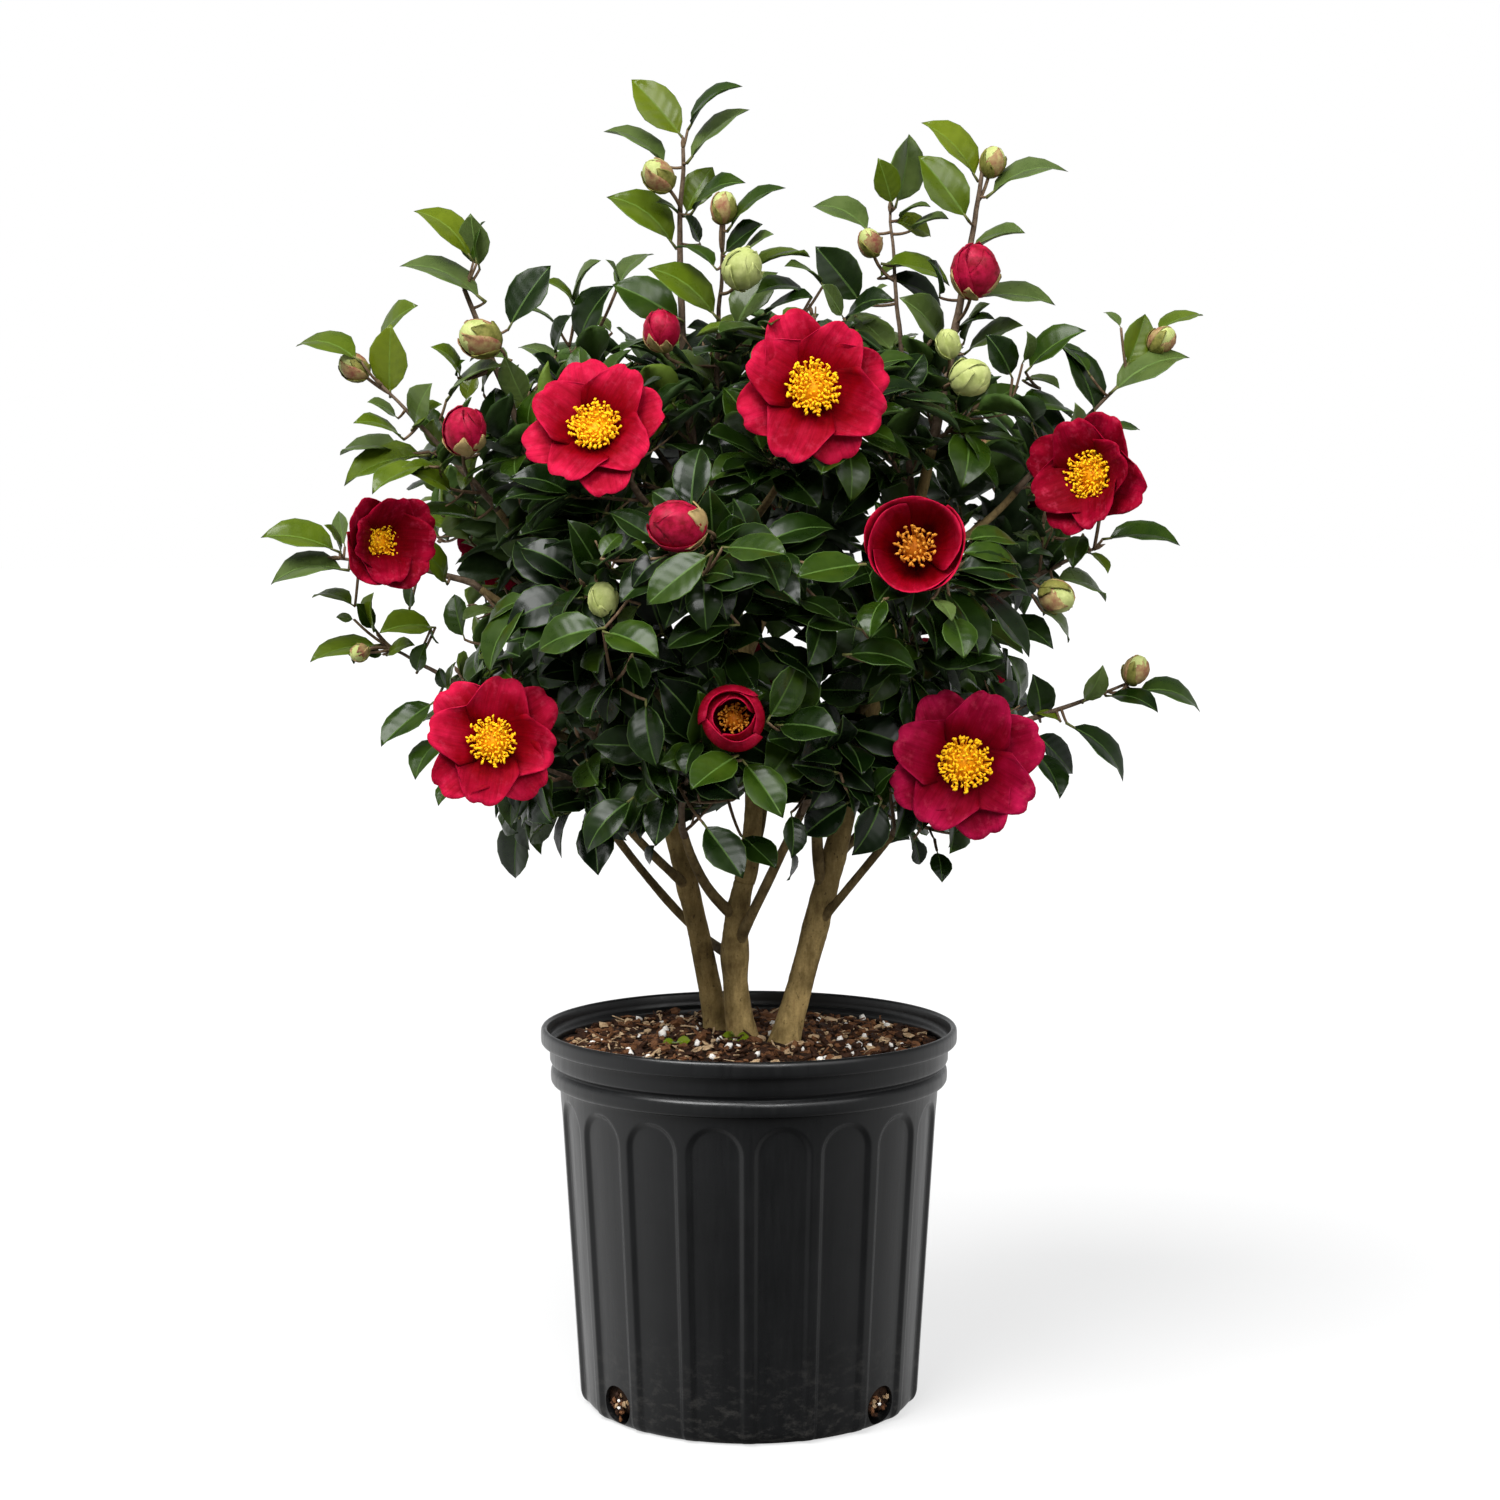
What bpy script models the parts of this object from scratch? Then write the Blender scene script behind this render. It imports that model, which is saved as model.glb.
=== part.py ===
"""A camellia shrub in a black nursery pot, as separate solids.

The pot is a turned shell with arched panels pressed into its wall. Three stems rise from the
soil, each bough is one tapering limb cut to sit against the limb that bears it, and each mass
of foliage is one solid: twigs, leaves, blooms and buds that grow from one short stem.

Everything is in metres, +Z up. The origin is at the middle of the pot's flat underside, and
-Y is the shrub's front.
"""

import math
import random
from collections import namedtuple

import bmesh
import bpy
from mathutils import Matrix, Vector
from mathutils.bvhtree import BVHTree

# ---------------------------------------------------------------- driving dimensions

POT_HEIGHT = 0.255
RIM_RADIUS = 0.140
LIP_HEIGHT = 0.011
COLLAR_RADIUS = 0.134
COLLAR_HEIGHT = 0.015
GROOVE_HEIGHT = 0.0035
GROOVE_DEPTH = 0.0030
BEAD_RADIUS = 0.1335
BEAD_HEIGHT = 0.012
WALL_TOP_RADIUS = 0.1275
WALL_FOOT_RADIUS = 0.1150
FOOT_RADIUS = 0.1055
CHAMFER_HEIGHT = 0.010
RIM_WALL = 0.0025
SIDE_WALL = 0.0045
FLOOR_THICKNESS = 0.004

PANEL_COUNT = 18
PANEL_DEPTH = 0.0024
PANEL_WIDTH = 0.0376
PANEL_SLOPE = 0.0030
PANEL_TOP = 0.2105
DRAIN_RADIUS = 0.013
DRAIN_HEIGHT = 0.015
DRAIN_PANELS = (2, 6, 11, 15)

SOIL_EDGE = 0.241
SOIL_CROWN = 0.246
SOIL_FLAT_RADIUS = 0.062

GAP = 0.0003
ROOT_FLARE = 1.35
FLARE_HEIGHT = 0.022
STRAIGHT_START = 0.007
STEM_STEPS = 9
LEADER_STEPS = 5
BOUGH_STEPS = 4

LEAF_LENGTH = 0.064
LEAF_WIDTH = 0.031
LEAF_THICKNESS = 0.0018
LEAF_FOLD = 0.0035
LEAF_SPACING = 0.010
TWIG_RADIUS = 0.0015
TWIG_SPACING = 0.021
TWIG_LIFT = 0.22
TIP_LEAF_REACH = 0.040
MASS_STEM_RADIUS = 0.0028
TWIG_ANGLE = math.radians(56)
GOLDEN_ANGLE = math.radians(137.5)
CROWN_MIDDLE = Vector((-0.01, 0.0, 0.54))
CROWN_FOOT = 0.366

# ---------------------------------------------------------------- the plan of the shrub

Limb = namedtuple("Limb", "name bearer height bend tip thick thin")
Mass = namedtuple("Mass", "name bearer height tip reach")
Bloom = namedtuple("Bloom", "mass kind place facing width")

# The stems stand on the soil: bearer holds the middle of the foot.
STEMS = (
    Limb("stem_left", (-0.0215, 0.038), None, (-0.047, 0.024, 0.405), (-0.112, 0.0, 0.556), 0.0080, 0.0044),
    Limb("stem_middle", (-0.0035, 0.006), None, (-0.016, 0.001, 0.305), (-0.003, -0.001, 0.352), 0.0092, 0.0068),
    Limb("stem_right", (0.0225, -0.016), None, (0.064, 0.004, 0.385), (0.120, -0.020, 0.640), 0.0092, 0.0036),
)

# A bough leaves its bearer at a height, or carries on from its tip where height is None.
BOUGHS = (
    Limb("leader_middle", "stem_middle", None, (0.020, 0.002, 0.450), (-0.036, 0.010, 0.640), 0.0068, 0.0036),
    Limb("low_left", "stem_middle", 0.300, (-0.046, 0.165, 0.292), (-0.105, 0.020, 0.400), 0.0036, 0.0026),
    Limb("low_front_left", "stem_left", 0.345, (-0.070, -0.020, 0.375), (-0.092, -0.052, 0.410), 0.0032, 0.0026),
    Limb("low_front", "stem_middle", 0.328, (-0.032, -0.014, 0.345), (-0.042, -0.048, 0.388), 0.0038, 0.0028),
    Limb("low_front_right", "stem_middle", 0.306, (0.008, -0.024, 0.345), (0.034, -0.045, 0.402), 0.0040, 0.0030),
    Limb("low_right", "stem_right", 0.322, (0.062, -0.024, 0.345), (0.094, -0.042, 0.388), 0.0031, 0.0026),
    Limb("far_right_low", "stem_right", 0.428, (0.110, 0.004, 0.435), (0.145, 0.004, 0.446), 0.0032, 0.0025),
    Limb("low_back_right", "stem_right", 0.368, (0.085, 0.045, 0.385), (0.108, 0.078, 0.420), 0.0034, 0.0026),
    Limb("low_back", "leader_middle", 0.362, (0.010, 0.045, 0.375), (0.012, 0.088, 0.418), 0.0034, 0.0026),
    Limb("low_back_left", "stem_left", 0.400, (-0.080, 0.050, 0.410), (-0.106, 0.078, 0.440), 0.0034, 0.0026),
    Limb("left_low", "stem_left", 0.432, (-0.105, 0.008, 0.438), (-0.152, 0.002, 0.462), 0.0032, 0.0025),
    Limb("far_left", "stem_left", 0.505, (-0.140, -0.005, 0.520), (-0.178, -0.008, 0.548), 0.0032, 0.0025),
    Limb("front_left", "leader_middle", 0.425, (-0.030, -0.040, 0.440), (-0.060, -0.082, 0.486), 0.0036, 0.0027),
    Limb("front_middle", "leader_middle", 0.462, (0.000, -0.050, 0.475), (-0.012, -0.095, 0.520), 0.0036, 0.0027),
    Limb("front_right", "stem_right", 0.345, (0.030, -0.034, 0.425), (0.088, -0.080, 0.492), 0.0040, 0.0027),
    Limb("right_middle", "stem_right", 0.492, (0.130, -0.004, 0.505), (0.155, -0.008, 0.534), 0.0032, 0.0025),
    Limb("back_right", "stem_right", 0.512, (0.125, 0.045, 0.525), (0.135, 0.080, 0.556), 0.0032, 0.0025),
    Limb("back_middle", "leader_middle", 0.500, (0.010, 0.050, 0.520), (0.018, 0.092, 0.556), 0.0034, 0.0026),
    Limb("back_left", "stem_left", 0.470, (-0.110, 0.045, 0.490), (-0.140, 0.082, 0.530), 0.0034, 0.0026),
    Limb("left_upper", "stem_left", 0.535, (-0.135, -0.005, 0.560), (-0.166, -0.008, 0.600), 0.0030, 0.0024),
    Limb("upper_front_left", "leader_middle", 0.548, (-0.035, -0.035, 0.570), (-0.066, -0.068, 0.604), 0.0032, 0.0025),
    Limb("upper_front_right", "leader_middle", 0.575, (0.005, -0.035, 0.590), (0.022, -0.070, 0.622), 0.0030, 0.0025),
    Limb("right_upper", "stem_right", 0.562, (0.150, -0.010, 0.580), (0.176, -0.008, 0.612), 0.0030, 0.0024),
)

# A mass grows on from its bearer's tip, or from its side where height is given.
MASSES = (
    Mass("low_left", "low_left", None, (-0.190, 0.000, 0.452), 0.098),
    Mass("low_front_left", "low_front_left", None, (-0.140, -0.118, 0.440), 0.092),
    Mass("low_front", "low_front", None, (-0.034, -0.150, 0.440), 0.090),
    Mass("low_front_right", "low_front_right", None, (0.052, -0.135, 0.455), 0.088),
    Mass("low_right", "low_right", None, (0.138, -0.105, 0.422), 0.092),
    Mass("far_right_low", "far_right_low", None, (0.252, 0.000, 0.484), 0.088),
    Mass("low_back_right", "low_back_right", None, (0.170, 0.142, 0.462), 0.100),
    Mass("low_back", "low_back", None, (0.016, 0.172, 0.455), 0.100),
    Mass("low_back_left", "low_back_left", None, (-0.168, 0.138, 0.474), 0.100),
    Mass("left_low", "left_low", None, (-0.238, 0.004, 0.508), 0.082),
    Mass("far_left", "far_left", None, (-0.270, -0.010, 0.568), 0.090),
    Mass("front_left", "front_left", None, (-0.100, -0.158, 0.552), 0.090),
    Mass("front_middle", "front_middle", None, (-0.022, -0.182, 0.580), 0.090),
    Mass("front_right", "front_right", None, (0.102, -0.148, 0.556), 0.092),
    Mass("right_middle", "right_middle", None, (0.226, -0.030, 0.574), 0.092),
    Mass("back_right", "back_right", None, (0.198, 0.146, 0.606), 0.100),
    Mass("back_middle", "back_middle", None, (0.022, 0.196, 0.602), 0.105),
    Mass("back_left", "back_left", None, (-0.214, 0.142, 0.590), 0.100),
    Mass("left_upper", "left_upper", None, (-0.242, -0.010, 0.682), 0.085),
    Mass("left_leader", "stem_left", None, (-0.188, 0.004, 0.746), 0.088),
    Mass("upper_front_left", "upper_front_left", None, (-0.100, -0.126, 0.668), 0.090),
    Mass("upper_front_right", "upper_front_right", None, (0.040, -0.128, 0.690), 0.090),
    Mass("right_upper", "right_upper", None, (0.250, -0.004, 0.688), 0.085),
    Mass("top_leader", "leader_middle", None, (-0.043, 0.002, 0.838), 0.080),
    Mass("top_front", "leader_middle", 0.605, (-0.016, -0.062, 0.782), 0.075),
    Mass("right_leader", "stem_right", None, (0.154, -0.004, 0.824), 0.082),
    Mass("top_right", "stem_right", 0.590, (0.094, 0.016, 0.798), 0.078),
    Mass("top_back_left", "leader_middle", 0.585, (-0.115, 0.118, 0.712), 0.095),
    Mass("top_back_right", "leader_middle", 0.615, (0.072, 0.128, 0.724), 0.095),
)

# Open blooms, cups that are half open, red buds about to open, and the green flower buds.
BLOOMS = (
    Bloom("upper_front_left", "open", (-0.094, -0.156, 0.652), (-0.12, -0.95, 0.28), 0.086),
    Bloom("upper_front_right", "open", (0.039, -0.170, 0.676), (0.05, -1.0, 0.10), 0.092),
    Bloom("right_middle", "open", (0.218, -0.072, 0.622), (-0.25, -0.95, 0.08), 0.078),
    Bloom("far_left", "open", (-0.236, -0.070, 0.580), (0.20, -0.97, -0.02), 0.062),
    Bloom("front_right", "cup", (0.100, -0.178, 0.578), (-0.06, -0.97, 0.18), 0.060),
    Bloom("low_front_left", "open", (-0.158, -0.152, 0.458), (0.05, -1.0, 0.10), 0.086),
    Bloom("low_front", "cup", (-0.009, -0.196, 0.475), (0.02, -0.98, 0.16), 0.045),
    Bloom("low_right", "open", (0.133, -0.148, 0.444), (0.02, -1.0, 0.04), 0.094),
    Bloom("left_upper", "red bud", (-0.181, -0.076, 0.650), (0.12, -0.40, 0.90), 0.028),
    Bloom("top_front", "red bud", (-0.056, -0.066, 0.714), (-0.05, -0.30, 0.95), 0.024),
    Bloom("front_middle", "red bud", (-0.040, -0.208, 0.590), (-0.80, -0.55, 0.18), 0.031),
    Bloom("right_leader", "red bud", (0.146, -0.040, 0.754), (0.10, -0.45, 0.90), 0.032),
    Bloom("left_leader", "bud", (-0.176, -0.026, 0.712), (-0.85, -0.30, 0.40), 0.027),
    Bloom("left_upper", "bud", (-0.260, -0.010, 0.694), (-0.70, -0.30, 0.60), 0.019),
    Bloom("top_leader", "bud", (-0.059, -0.012, 0.818), (-0.60, -0.35, 0.70), 0.021),
    Bloom("top_front", "bud", (-0.016, -0.062, 0.792), (0.15, -0.10, 0.98), 0.018),
    Bloom("top_front", "bud", (-0.004, -0.088, 0.752), (0.25, -0.75, 0.60), 0.027),
    Bloom("top_right", "bud", (0.080, 0.000, 0.776), (-0.30, -0.35, 0.88), 0.017),
    Bloom("right_leader", "bud", (0.160, -0.004, 0.828), (0.25, -0.10, 0.96), 0.018),
    Bloom("right_leader", "bud", (0.128, -0.058, 0.706), (-0.10, -0.35, 0.93), 0.017),
    Bloom("right_leader", "bud", (0.141, -0.082, 0.684), (0.88, -0.40, 0.25), 0.025),
    Bloom("right_upper", "bud", (0.272, -0.006, 0.712), (0.70, -0.30, 0.62), 0.018),
    Bloom("front_left", "bud", (-0.088, -0.182, 0.545), (0.02, -0.25, 0.97), 0.019),
    Bloom("right_middle", "bud", (0.200, -0.052, 0.544), (0.75, -0.45, -0.42), 0.023),
    Bloom("far_right_low", "bud", (0.257, -0.008, 0.494), (0.45, -0.15, 0.88), 0.018),
    Bloom("left_low", "bud", (-0.258, -0.014, 0.506), (-0.40, -0.80, -0.20), 0.013),
    Bloom("low_back_right", "open", (0.176, 0.168, 0.470), (0.45, 0.88, 0.12), 0.084),
    Bloom("low_back", "open", (0.004, 0.206, 0.462), (0.05, 0.99, 0.12), 0.088),
    Bloom("low_back_left", "cup", (-0.180, 0.166, 0.482), (-0.50, 0.85, 0.15), 0.056),
    Bloom("back_right", "cup", (0.214, 0.170, 0.616), (0.60, 0.78, 0.18), 0.058),
    Bloom("back_middle", "open", (0.030, 0.226, 0.612), (0.08, 0.98, 0.15), 0.090),
    Bloom("back_left", "open", (-0.232, 0.160, 0.600), (-0.62, 0.76, 0.18), 0.080),
    Bloom("top_back_left", "open", (-0.126, 0.146, 0.716), (-0.35, 0.82, 0.45), 0.078),
    Bloom("top_back_right", "red bud", (0.086, 0.156, 0.730), (0.25, 0.70, 0.65), 0.030),
    Bloom("low_left", "red bud", (-0.196, 0.014, 0.444), (-0.70, 0.10, 0.40), 0.027),
    Bloom("back_right", "bud", (0.172, 0.160, 0.648), (0.30, 0.50, 0.80), 0.020),
    Bloom("back_middle", "bud", (-0.030, 0.214, 0.640), (-0.30, 0.70, 0.65), 0.021),
    Bloom("top_back_right", "bud", (0.050, 0.120, 0.756), (0.10, 0.30, 0.95), 0.018),
)

COLOURS = {
    "pot": ((0.020, 0.021, 0.022), 0.45),
    "soil": ((0.060, 0.032, 0.018), 0.95),
    "bark": ((0.230, 0.160, 0.095), 0.85),
    "leaf": ((0.022, 0.085, 0.018), 0.35),
}


# ---------------------------------------------------------------- scene helpers


def clear_scene():
    for obj in list(bpy.data.objects):
        bpy.data.objects.remove(obj)


def collection(name):
    made = bpy.data.collections.new(name)
    bpy.context.scene.collection.children.link(made)
    return made


def material(name):
    colour, roughness = COLOURS[name]
    made = bpy.data.materials.new(name)
    made.use_nodes = True
    shader = made.node_tree.nodes["Principled BSDF"]
    shader.inputs["Base Color"].default_value = (*colour, 1.0)
    shader.inputs["Roughness"].default_value = roughness
    shader.inputs["Metallic"].default_value = 0.0
    return made


def add_mesh(name, mesh, into, finish=None):
    obj = bpy.data.objects.new(name, mesh)
    into.objects.link(obj)
    if finish:
        mesh.materials.append(finish)
    return obj


def mesh_from(bm, name):
    mesh = bpy.data.meshes.new(name)
    bm.to_mesh(mesh)
    bm.free()
    return mesh


def as_cutter(obj):
    obj.hide_render = True
    obj.display_type = "WIRE"
    return obj


def cut(obj, cutter):
    modifier = obj.modifiers.new("cut by " + cutter.name, "BOOLEAN")
    modifier.operation = "DIFFERENCE"
    modifier.object = cutter


def evaluated_mesh(obj):
    graph = bpy.context.evaluated_depsgraph_get()
    return bpy.data.meshes.new_from_object(obj.evaluated_get(graph))


def apply_modifiers(obj):
    obj.data = evaluated_mesh(obj)
    obj.modifiers.clear()


def turned(name, profile, steps, into, finish=None):
    """A solid of revolution from an (r, z) profile that runs from the axis back to the axis."""
    bm = bmesh.new()
    points = [bm.verts.new((r, 0.0, z)) for r, z in profile]
    for a, b in zip(points, points[1:]):
        bm.edges.new((a, b))
    obj = add_mesh(name, mesh_from(bm, name), into, finish)
    screw = obj.modifiers.new("turn", "SCREW")
    screw.steps = screw.render_steps = steps
    screw.use_merge_vertices = True
    screw.merge_threshold = 0.0001
    return obj


# ---------------------------------------------------------------- pot and soil


LIP_FOOT = POT_HEIGHT - LIP_HEIGHT
COLLAR_FOOT = LIP_FOOT - COLLAR_HEIGHT
WALL_TOP = COLLAR_FOOT - BEAD_HEIGHT
WALL_TAPER = (WALL_TOP_RADIUS - WALL_FOOT_RADIUS) / (WALL_TOP - CHAMFER_HEIGHT)


def wall_radius(z):
    """Outer radius of the pot's tapering wall at a height."""
    return WALL_FOOT_RADIUS + (z - CHAMFER_HEIGHT) * WALL_TAPER


def pot_profile():
    edge = 0.0015
    return [
        (0.0, FLOOR_THICKNESS),
        (FOOT_RADIUS - SIDE_WALL, FLOOR_THICKNESS),
        (wall_radius(CHAMFER_HEIGHT) - SIDE_WALL, CHAMFER_HEIGHT + FLOOR_THICKNESS),
        (WALL_TOP_RADIUS - SIDE_WALL, WALL_TOP),
        (COLLAR_RADIUS - RIM_WALL, LIP_FOOT),
        (RIM_RADIUS - 2 * RIM_WALL, POT_HEIGHT),
        (RIM_RADIUS - edge, POT_HEIGHT),
        (RIM_RADIUS, POT_HEIGHT - edge),
        (RIM_RADIUS, LIP_FOOT + edge),
        (COLLAR_RADIUS, LIP_FOOT),
        (COLLAR_RADIUS, COLLAR_FOOT + GROOVE_HEIGHT),
        (COLLAR_RADIUS - GROOVE_DEPTH, COLLAR_FOOT),
        (BEAD_RADIUS, COLLAR_FOOT - edge),
        (BEAD_RADIUS - edge, WALL_TOP + edge),
        (WALL_TOP_RADIUS, WALL_TOP),
        (WALL_FOOT_RADIUS, CHAMFER_HEIGHT),
        (FOOT_RADIUS, 0.0),
        (0.0, 0.0),
    ]


def panel_turn(index):
    return Matrix.Rotation((index + 0.5) * 2 * math.pi / PANEL_COUNT, 4, "Z")


def panel_cutter(index, into):
    """An arched prism with sloping sides that presses one panel into the leaning wall, narrower
    towards its foot as the wall is."""
    arc_steps = 6
    foot = -0.01
    stand_off = 0.001
    springing = PANEL_TOP - PANEL_WIDTH / 2
    outer = PANEL_WIDTH / 2 + PANEL_SLOPE * stand_off / PANEL_DEPTH
    inner = PANEL_WIDTH / 2 - PANEL_SLOPE
    outline = [(-outer, foot)]
    for step in range(arc_steps + 1):
        angle = math.pi * (1 - step / arc_steps)
        outline.append((outer * math.cos(angle), springing + outer * math.sin(angle)))
    outline.append((outer, foot))
    bm = bmesh.new()
    face = bm.faces.new([bm.verts.new((x, 0.0, z)) for x, z in outline])
    extruded = bmesh.ops.extrude_face_region(bm, geom=[face])["geom"]
    for vert in extruded:
        if isinstance(vert, bmesh.types.BMVert):
            rise = max(0.0, vert.co.z - springing)
            vert.co += Vector((0, stand_off + PANEL_DEPTH, rise * (inner / outer - 1)))
            vert.co.x *= inner / outer
    for vert in bm.verts:
        vert.co.x *= wall_radius(vert.co.z) / WALL_TOP_RADIUS
        vert.co.y -= wall_radius(vert.co.z) + stand_off
    bmesh.ops.recalc_face_normals(bm, faces=bm.faces)
    bm.transform(panel_turn(index))
    name = f"panel_cutter_{index:02d}"
    return as_cutter(add_mesh(name, mesh_from(bm, name), into))


def drain_cutter(index, into):
    bm = bmesh.new()
    bmesh.ops.create_cone(
        bm, cap_ends=True, segments=12, radius1=DRAIN_RADIUS, radius2=DRAIN_RADIUS, depth=0.05
    )
    bm.transform(Matrix.Rotation(math.pi / 2, 4, "X"))
    bm.transform(Matrix.Translation((0.0, -wall_radius(DRAIN_HEIGHT), DRAIN_HEIGHT)))
    bm.transform(panel_turn(index))
    name = f"drain_cutter_{index:02d}"
    return as_cutter(add_mesh(name, mesh_from(bm, name), into))


def build_pot(into, cutters, finish):
    pot = turned("pot", pot_profile(), PANEL_COUNT * 2, into, finish)
    for index in range(PANEL_COUNT):
        cut(pot, panel_cutter(index, cutters))
    for index in DRAIN_PANELS:
        cut(pot, drain_cutter(index, cutters))
    return pot


def build_soil(into, finish):
    foot = FLOOR_THICKNESS + GAP
    side = SIDE_WALL + 2 * GAP
    profile = [
        (0.0, SOIL_CROWN),
        (SOIL_FLAT_RADIUS, SOIL_CROWN),
        (COLLAR_RADIUS - 0.0050, SOIL_EDGE),
        (WALL_TOP_RADIUS - side, WALL_TOP),
        (wall_radius(CHAMFER_HEIGHT) - side, CHAMFER_HEIGHT + foot),
        (FOOT_RADIUS - side, foot),
        (0.0, foot),
    ]
    return turned("soil", profile, PANEL_COUNT * 2, into, finish)


# ---------------------------------------------------------------- limbs


def bezier(foot, bend, tip, steps):
    """Points along the curve that leaves foot towards bend and arrives at tip."""
    a, b, c = Vector(foot), Vector(bend), Vector(tip)
    shares = [step / steps for step in range(steps + 1)]
    return [(1 - t) ** 2 * a + 2 * t * (1 - t) * b + t * t * c for t in shares]


def tapered(thick, thin, count):
    return [thick + (thin - thick) * step / (count - 1) for step in range(count)]


def tube(name, path, radii, resolution, into, finish=None):
    """A tapering limb along a path, as one closed mesh."""
    curve = bpy.data.curves.new(name, "CURVE")
    curve.dimensions = "3D"
    curve.bevel_depth = 1.0
    curve.bevel_resolution = resolution
    curve.use_fill_caps = True
    spline = curve.splines.new("POLY")
    spline.points.add(len(path) - 1)
    for point, place, radius in zip(spline.points, path, radii):
        point.co = (*place, 1.0)
        point.radius = radius
    guide = bpy.data.objects.new(name + "_guide", curve)
    into.objects.link(guide)
    mesh = evaluated_mesh(guide)
    bpy.data.objects.remove(guide)
    bm = bmesh.new()
    bm.from_mesh(mesh)
    bmesh.ops.remove_doubles(bm, verts=bm.verts, dist=0.00001)
    bmesh.ops.recalc_face_normals(bm, faces=bm.faces)
    bm.to_mesh(mesh)
    bm.free()
    mesh.name = name
    return add_mesh(name, mesh, into, finish)


def flat_foot(obj, height):
    """Cuts a leaning stem level with the ground."""
    bm = bmesh.new()
    bm.from_mesh(obj.data)
    geometry = bm.verts[:] + bm.edges[:] + bm.faces[:]
    result = bmesh.ops.bisect_plane(
        bm, geom=geometry, plane_co=(0, 0, height), plane_no=(0, 0, 1), clear_inner=True
    )
    rim = [e for e in result["geom_cut"] if isinstance(e, bmesh.types.BMEdge)]
    bmesh.ops.contextual_create(bm, geom=rim)
    bmesh.ops.recalc_face_normals(bm, faces=bm.faces)
    bm.to_mesh(obj.data)
    bm.free()


def point_at_height(path, height):
    """Where a rising path passes a height."""
    for a, b in zip(path, path[1:]):
        if a.z <= height <= b.z:
            return a.lerp(b, (height - a.z) / (b.z - a.z))
    return path[-1]


class Shrub:
    """The limbs and masses made so far, with the shapes that later ones keep clear of."""

    def __init__(self, parts, cutters):
        self.parts = parts
        self.cutters = cutters
        self.paths = {}  # a limb's or a mass's name to the points of its axis
        self.cutter_of = {}  # a limb's name to a copy of it that is thicker by the gap
        self.spines = {}  # a mass's name to the two ends of the line its space lies round
        self.pieces = {mass.name: [] for mass in MASSES}  # what is fused to each mass's stem
        self.shapes = []  # (middle, radius, tree, owner) of every shape so far

    def remember_limb(self, name, path, radii, resolution):
        self.paths[name] = path
        wider = [radius + GAP for radius in radii]
        cutter = tube("cutter_" + name, path, wider, resolution, self.cutters)
        self.cutter_of[name] = as_cutter(cutter)

    def add_shape(self, mesh, owner):
        middle, radius = ball_of(mesh)
        self.shapes.append((middle, radius, tree_of(mesh), owner))

    def add_piece(self, mass, mesh, owner):
        self.pieces[mass.name].append(mesh)
        self.add_shape(mesh, owner)

    def is_clear(self, mesh, grows_on):
        """Whether a shape meets nothing made so far, apart from what it grows on."""
        tree = tree_of(mesh)
        middle, radius = ball_of(mesh)
        for other_middle, other_radius, other_tree, owner in self.shapes:
            is_near = (other_middle - middle).length < radius + other_radius
            if is_near and owner != grows_on and tree.overlap(other_tree):
                return False
        return True


def tree_of(mesh):
    mesh.calc_loop_triangles()
    points = [v.co.copy() for v in mesh.vertices]
    return BVHTree.FromPolygons(points, [tuple(t.vertices) for t in mesh.loop_triangles])


def ball_of(mesh):
    points = [v.co for v in mesh.vertices]
    middle = sum(points, Vector()) / len(points)
    return middle, max((p - middle).length for p in points)


def build_stem(shrub, stem, finish):
    foot = Vector((*stem.bearer, SOIL_CROWN - 0.004))
    path = bezier(foot, stem.bend, stem.tip, STEM_STEPS)
    path[1] = point_at_height(path, SOIL_CROWN + FLARE_HEIGHT)
    radii = tapered(stem.thick, stem.thin, len(path))
    radii[0] *= ROOT_FLARE
    obj = tube(stem.name, path, radii, 2, shrub.parts, finish)
    flat_foot(obj, SOIL_CROWN + GAP)
    shrub.remember_limb(stem.name, path, radii, 2)
    shrub.add_shape(obj.data, stem.name)


def path_on(shrub, limb, bend, tip, steps):
    """The axis of a limb or of a mass's stem: it leaves its bearer's axis at a height, or grows
    straight on from just clear of its bearer's tip."""
    bearer = shrub.paths[limb.bearer]
    if limb.height is not None:
        return bezier(point_at_height(bearer, limb.height), bend, tip, steps)
    heading = (bearer[-1] - bearer[-2]).normalized()
    start = bearer[-1] + heading * GAP
    path = bezier(start, bend, tip, steps)
    path.insert(1, start + heading * STRAIGHT_START)
    return path


def build_bough(shrub, bough, finish):
    steps = LEADER_STEPS if bough.height is None else BOUGH_STEPS
    path = path_on(shrub, bough, bough.bend, bough.tip, steps)
    radii = tapered(bough.thick, bough.thin, len(path))
    obj = tube(bough.name + "_bough", path, radii, 1, shrub.parts, finish)
    cut(obj, shrub.cutter_of[bough.bearer])
    shrub.remember_limb(bough.name, path, radii, 1)
    shrub.add_shape(obj.data, bough.name)


# ---------------------------------------------------------------- foliage


def share_along(point, a, b):
    """How far along the line from a to b the nearest place to a point is, from 0 to 1."""
    along = b - a
    return max(0.0, min(1.0, (point - a).dot(along) / along.length_squared))


def distance_to(point, a, b):
    return (point - a.lerp(b, share_along(point, a, b))).length


def keeps_to(mass, points, spines):
    """Whether points lie in the mass's own space: within its reach, nearer its stem than any other,
    and above the crown's foot."""
    for point in points:
        own = distance_to(point, *spines[mass.name])
        if own > mass.reach or point.z < CROWN_FOOT:
            return False
        if min(distance_to(point, *spine) for spine in spines.values()) < own:
            return False
    return True


def across(direction, angle):
    """A unit vector square to a direction, turned by an angle about it."""
    level = direction.cross(Vector((0, 0, 1)))
    if level.length < 0.05:
        level = Vector((1, 0, 0))
    level.normalize()
    other = level.cross(direction).normalized()
    return level * math.cos(angle) + other * math.sin(angle)


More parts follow.
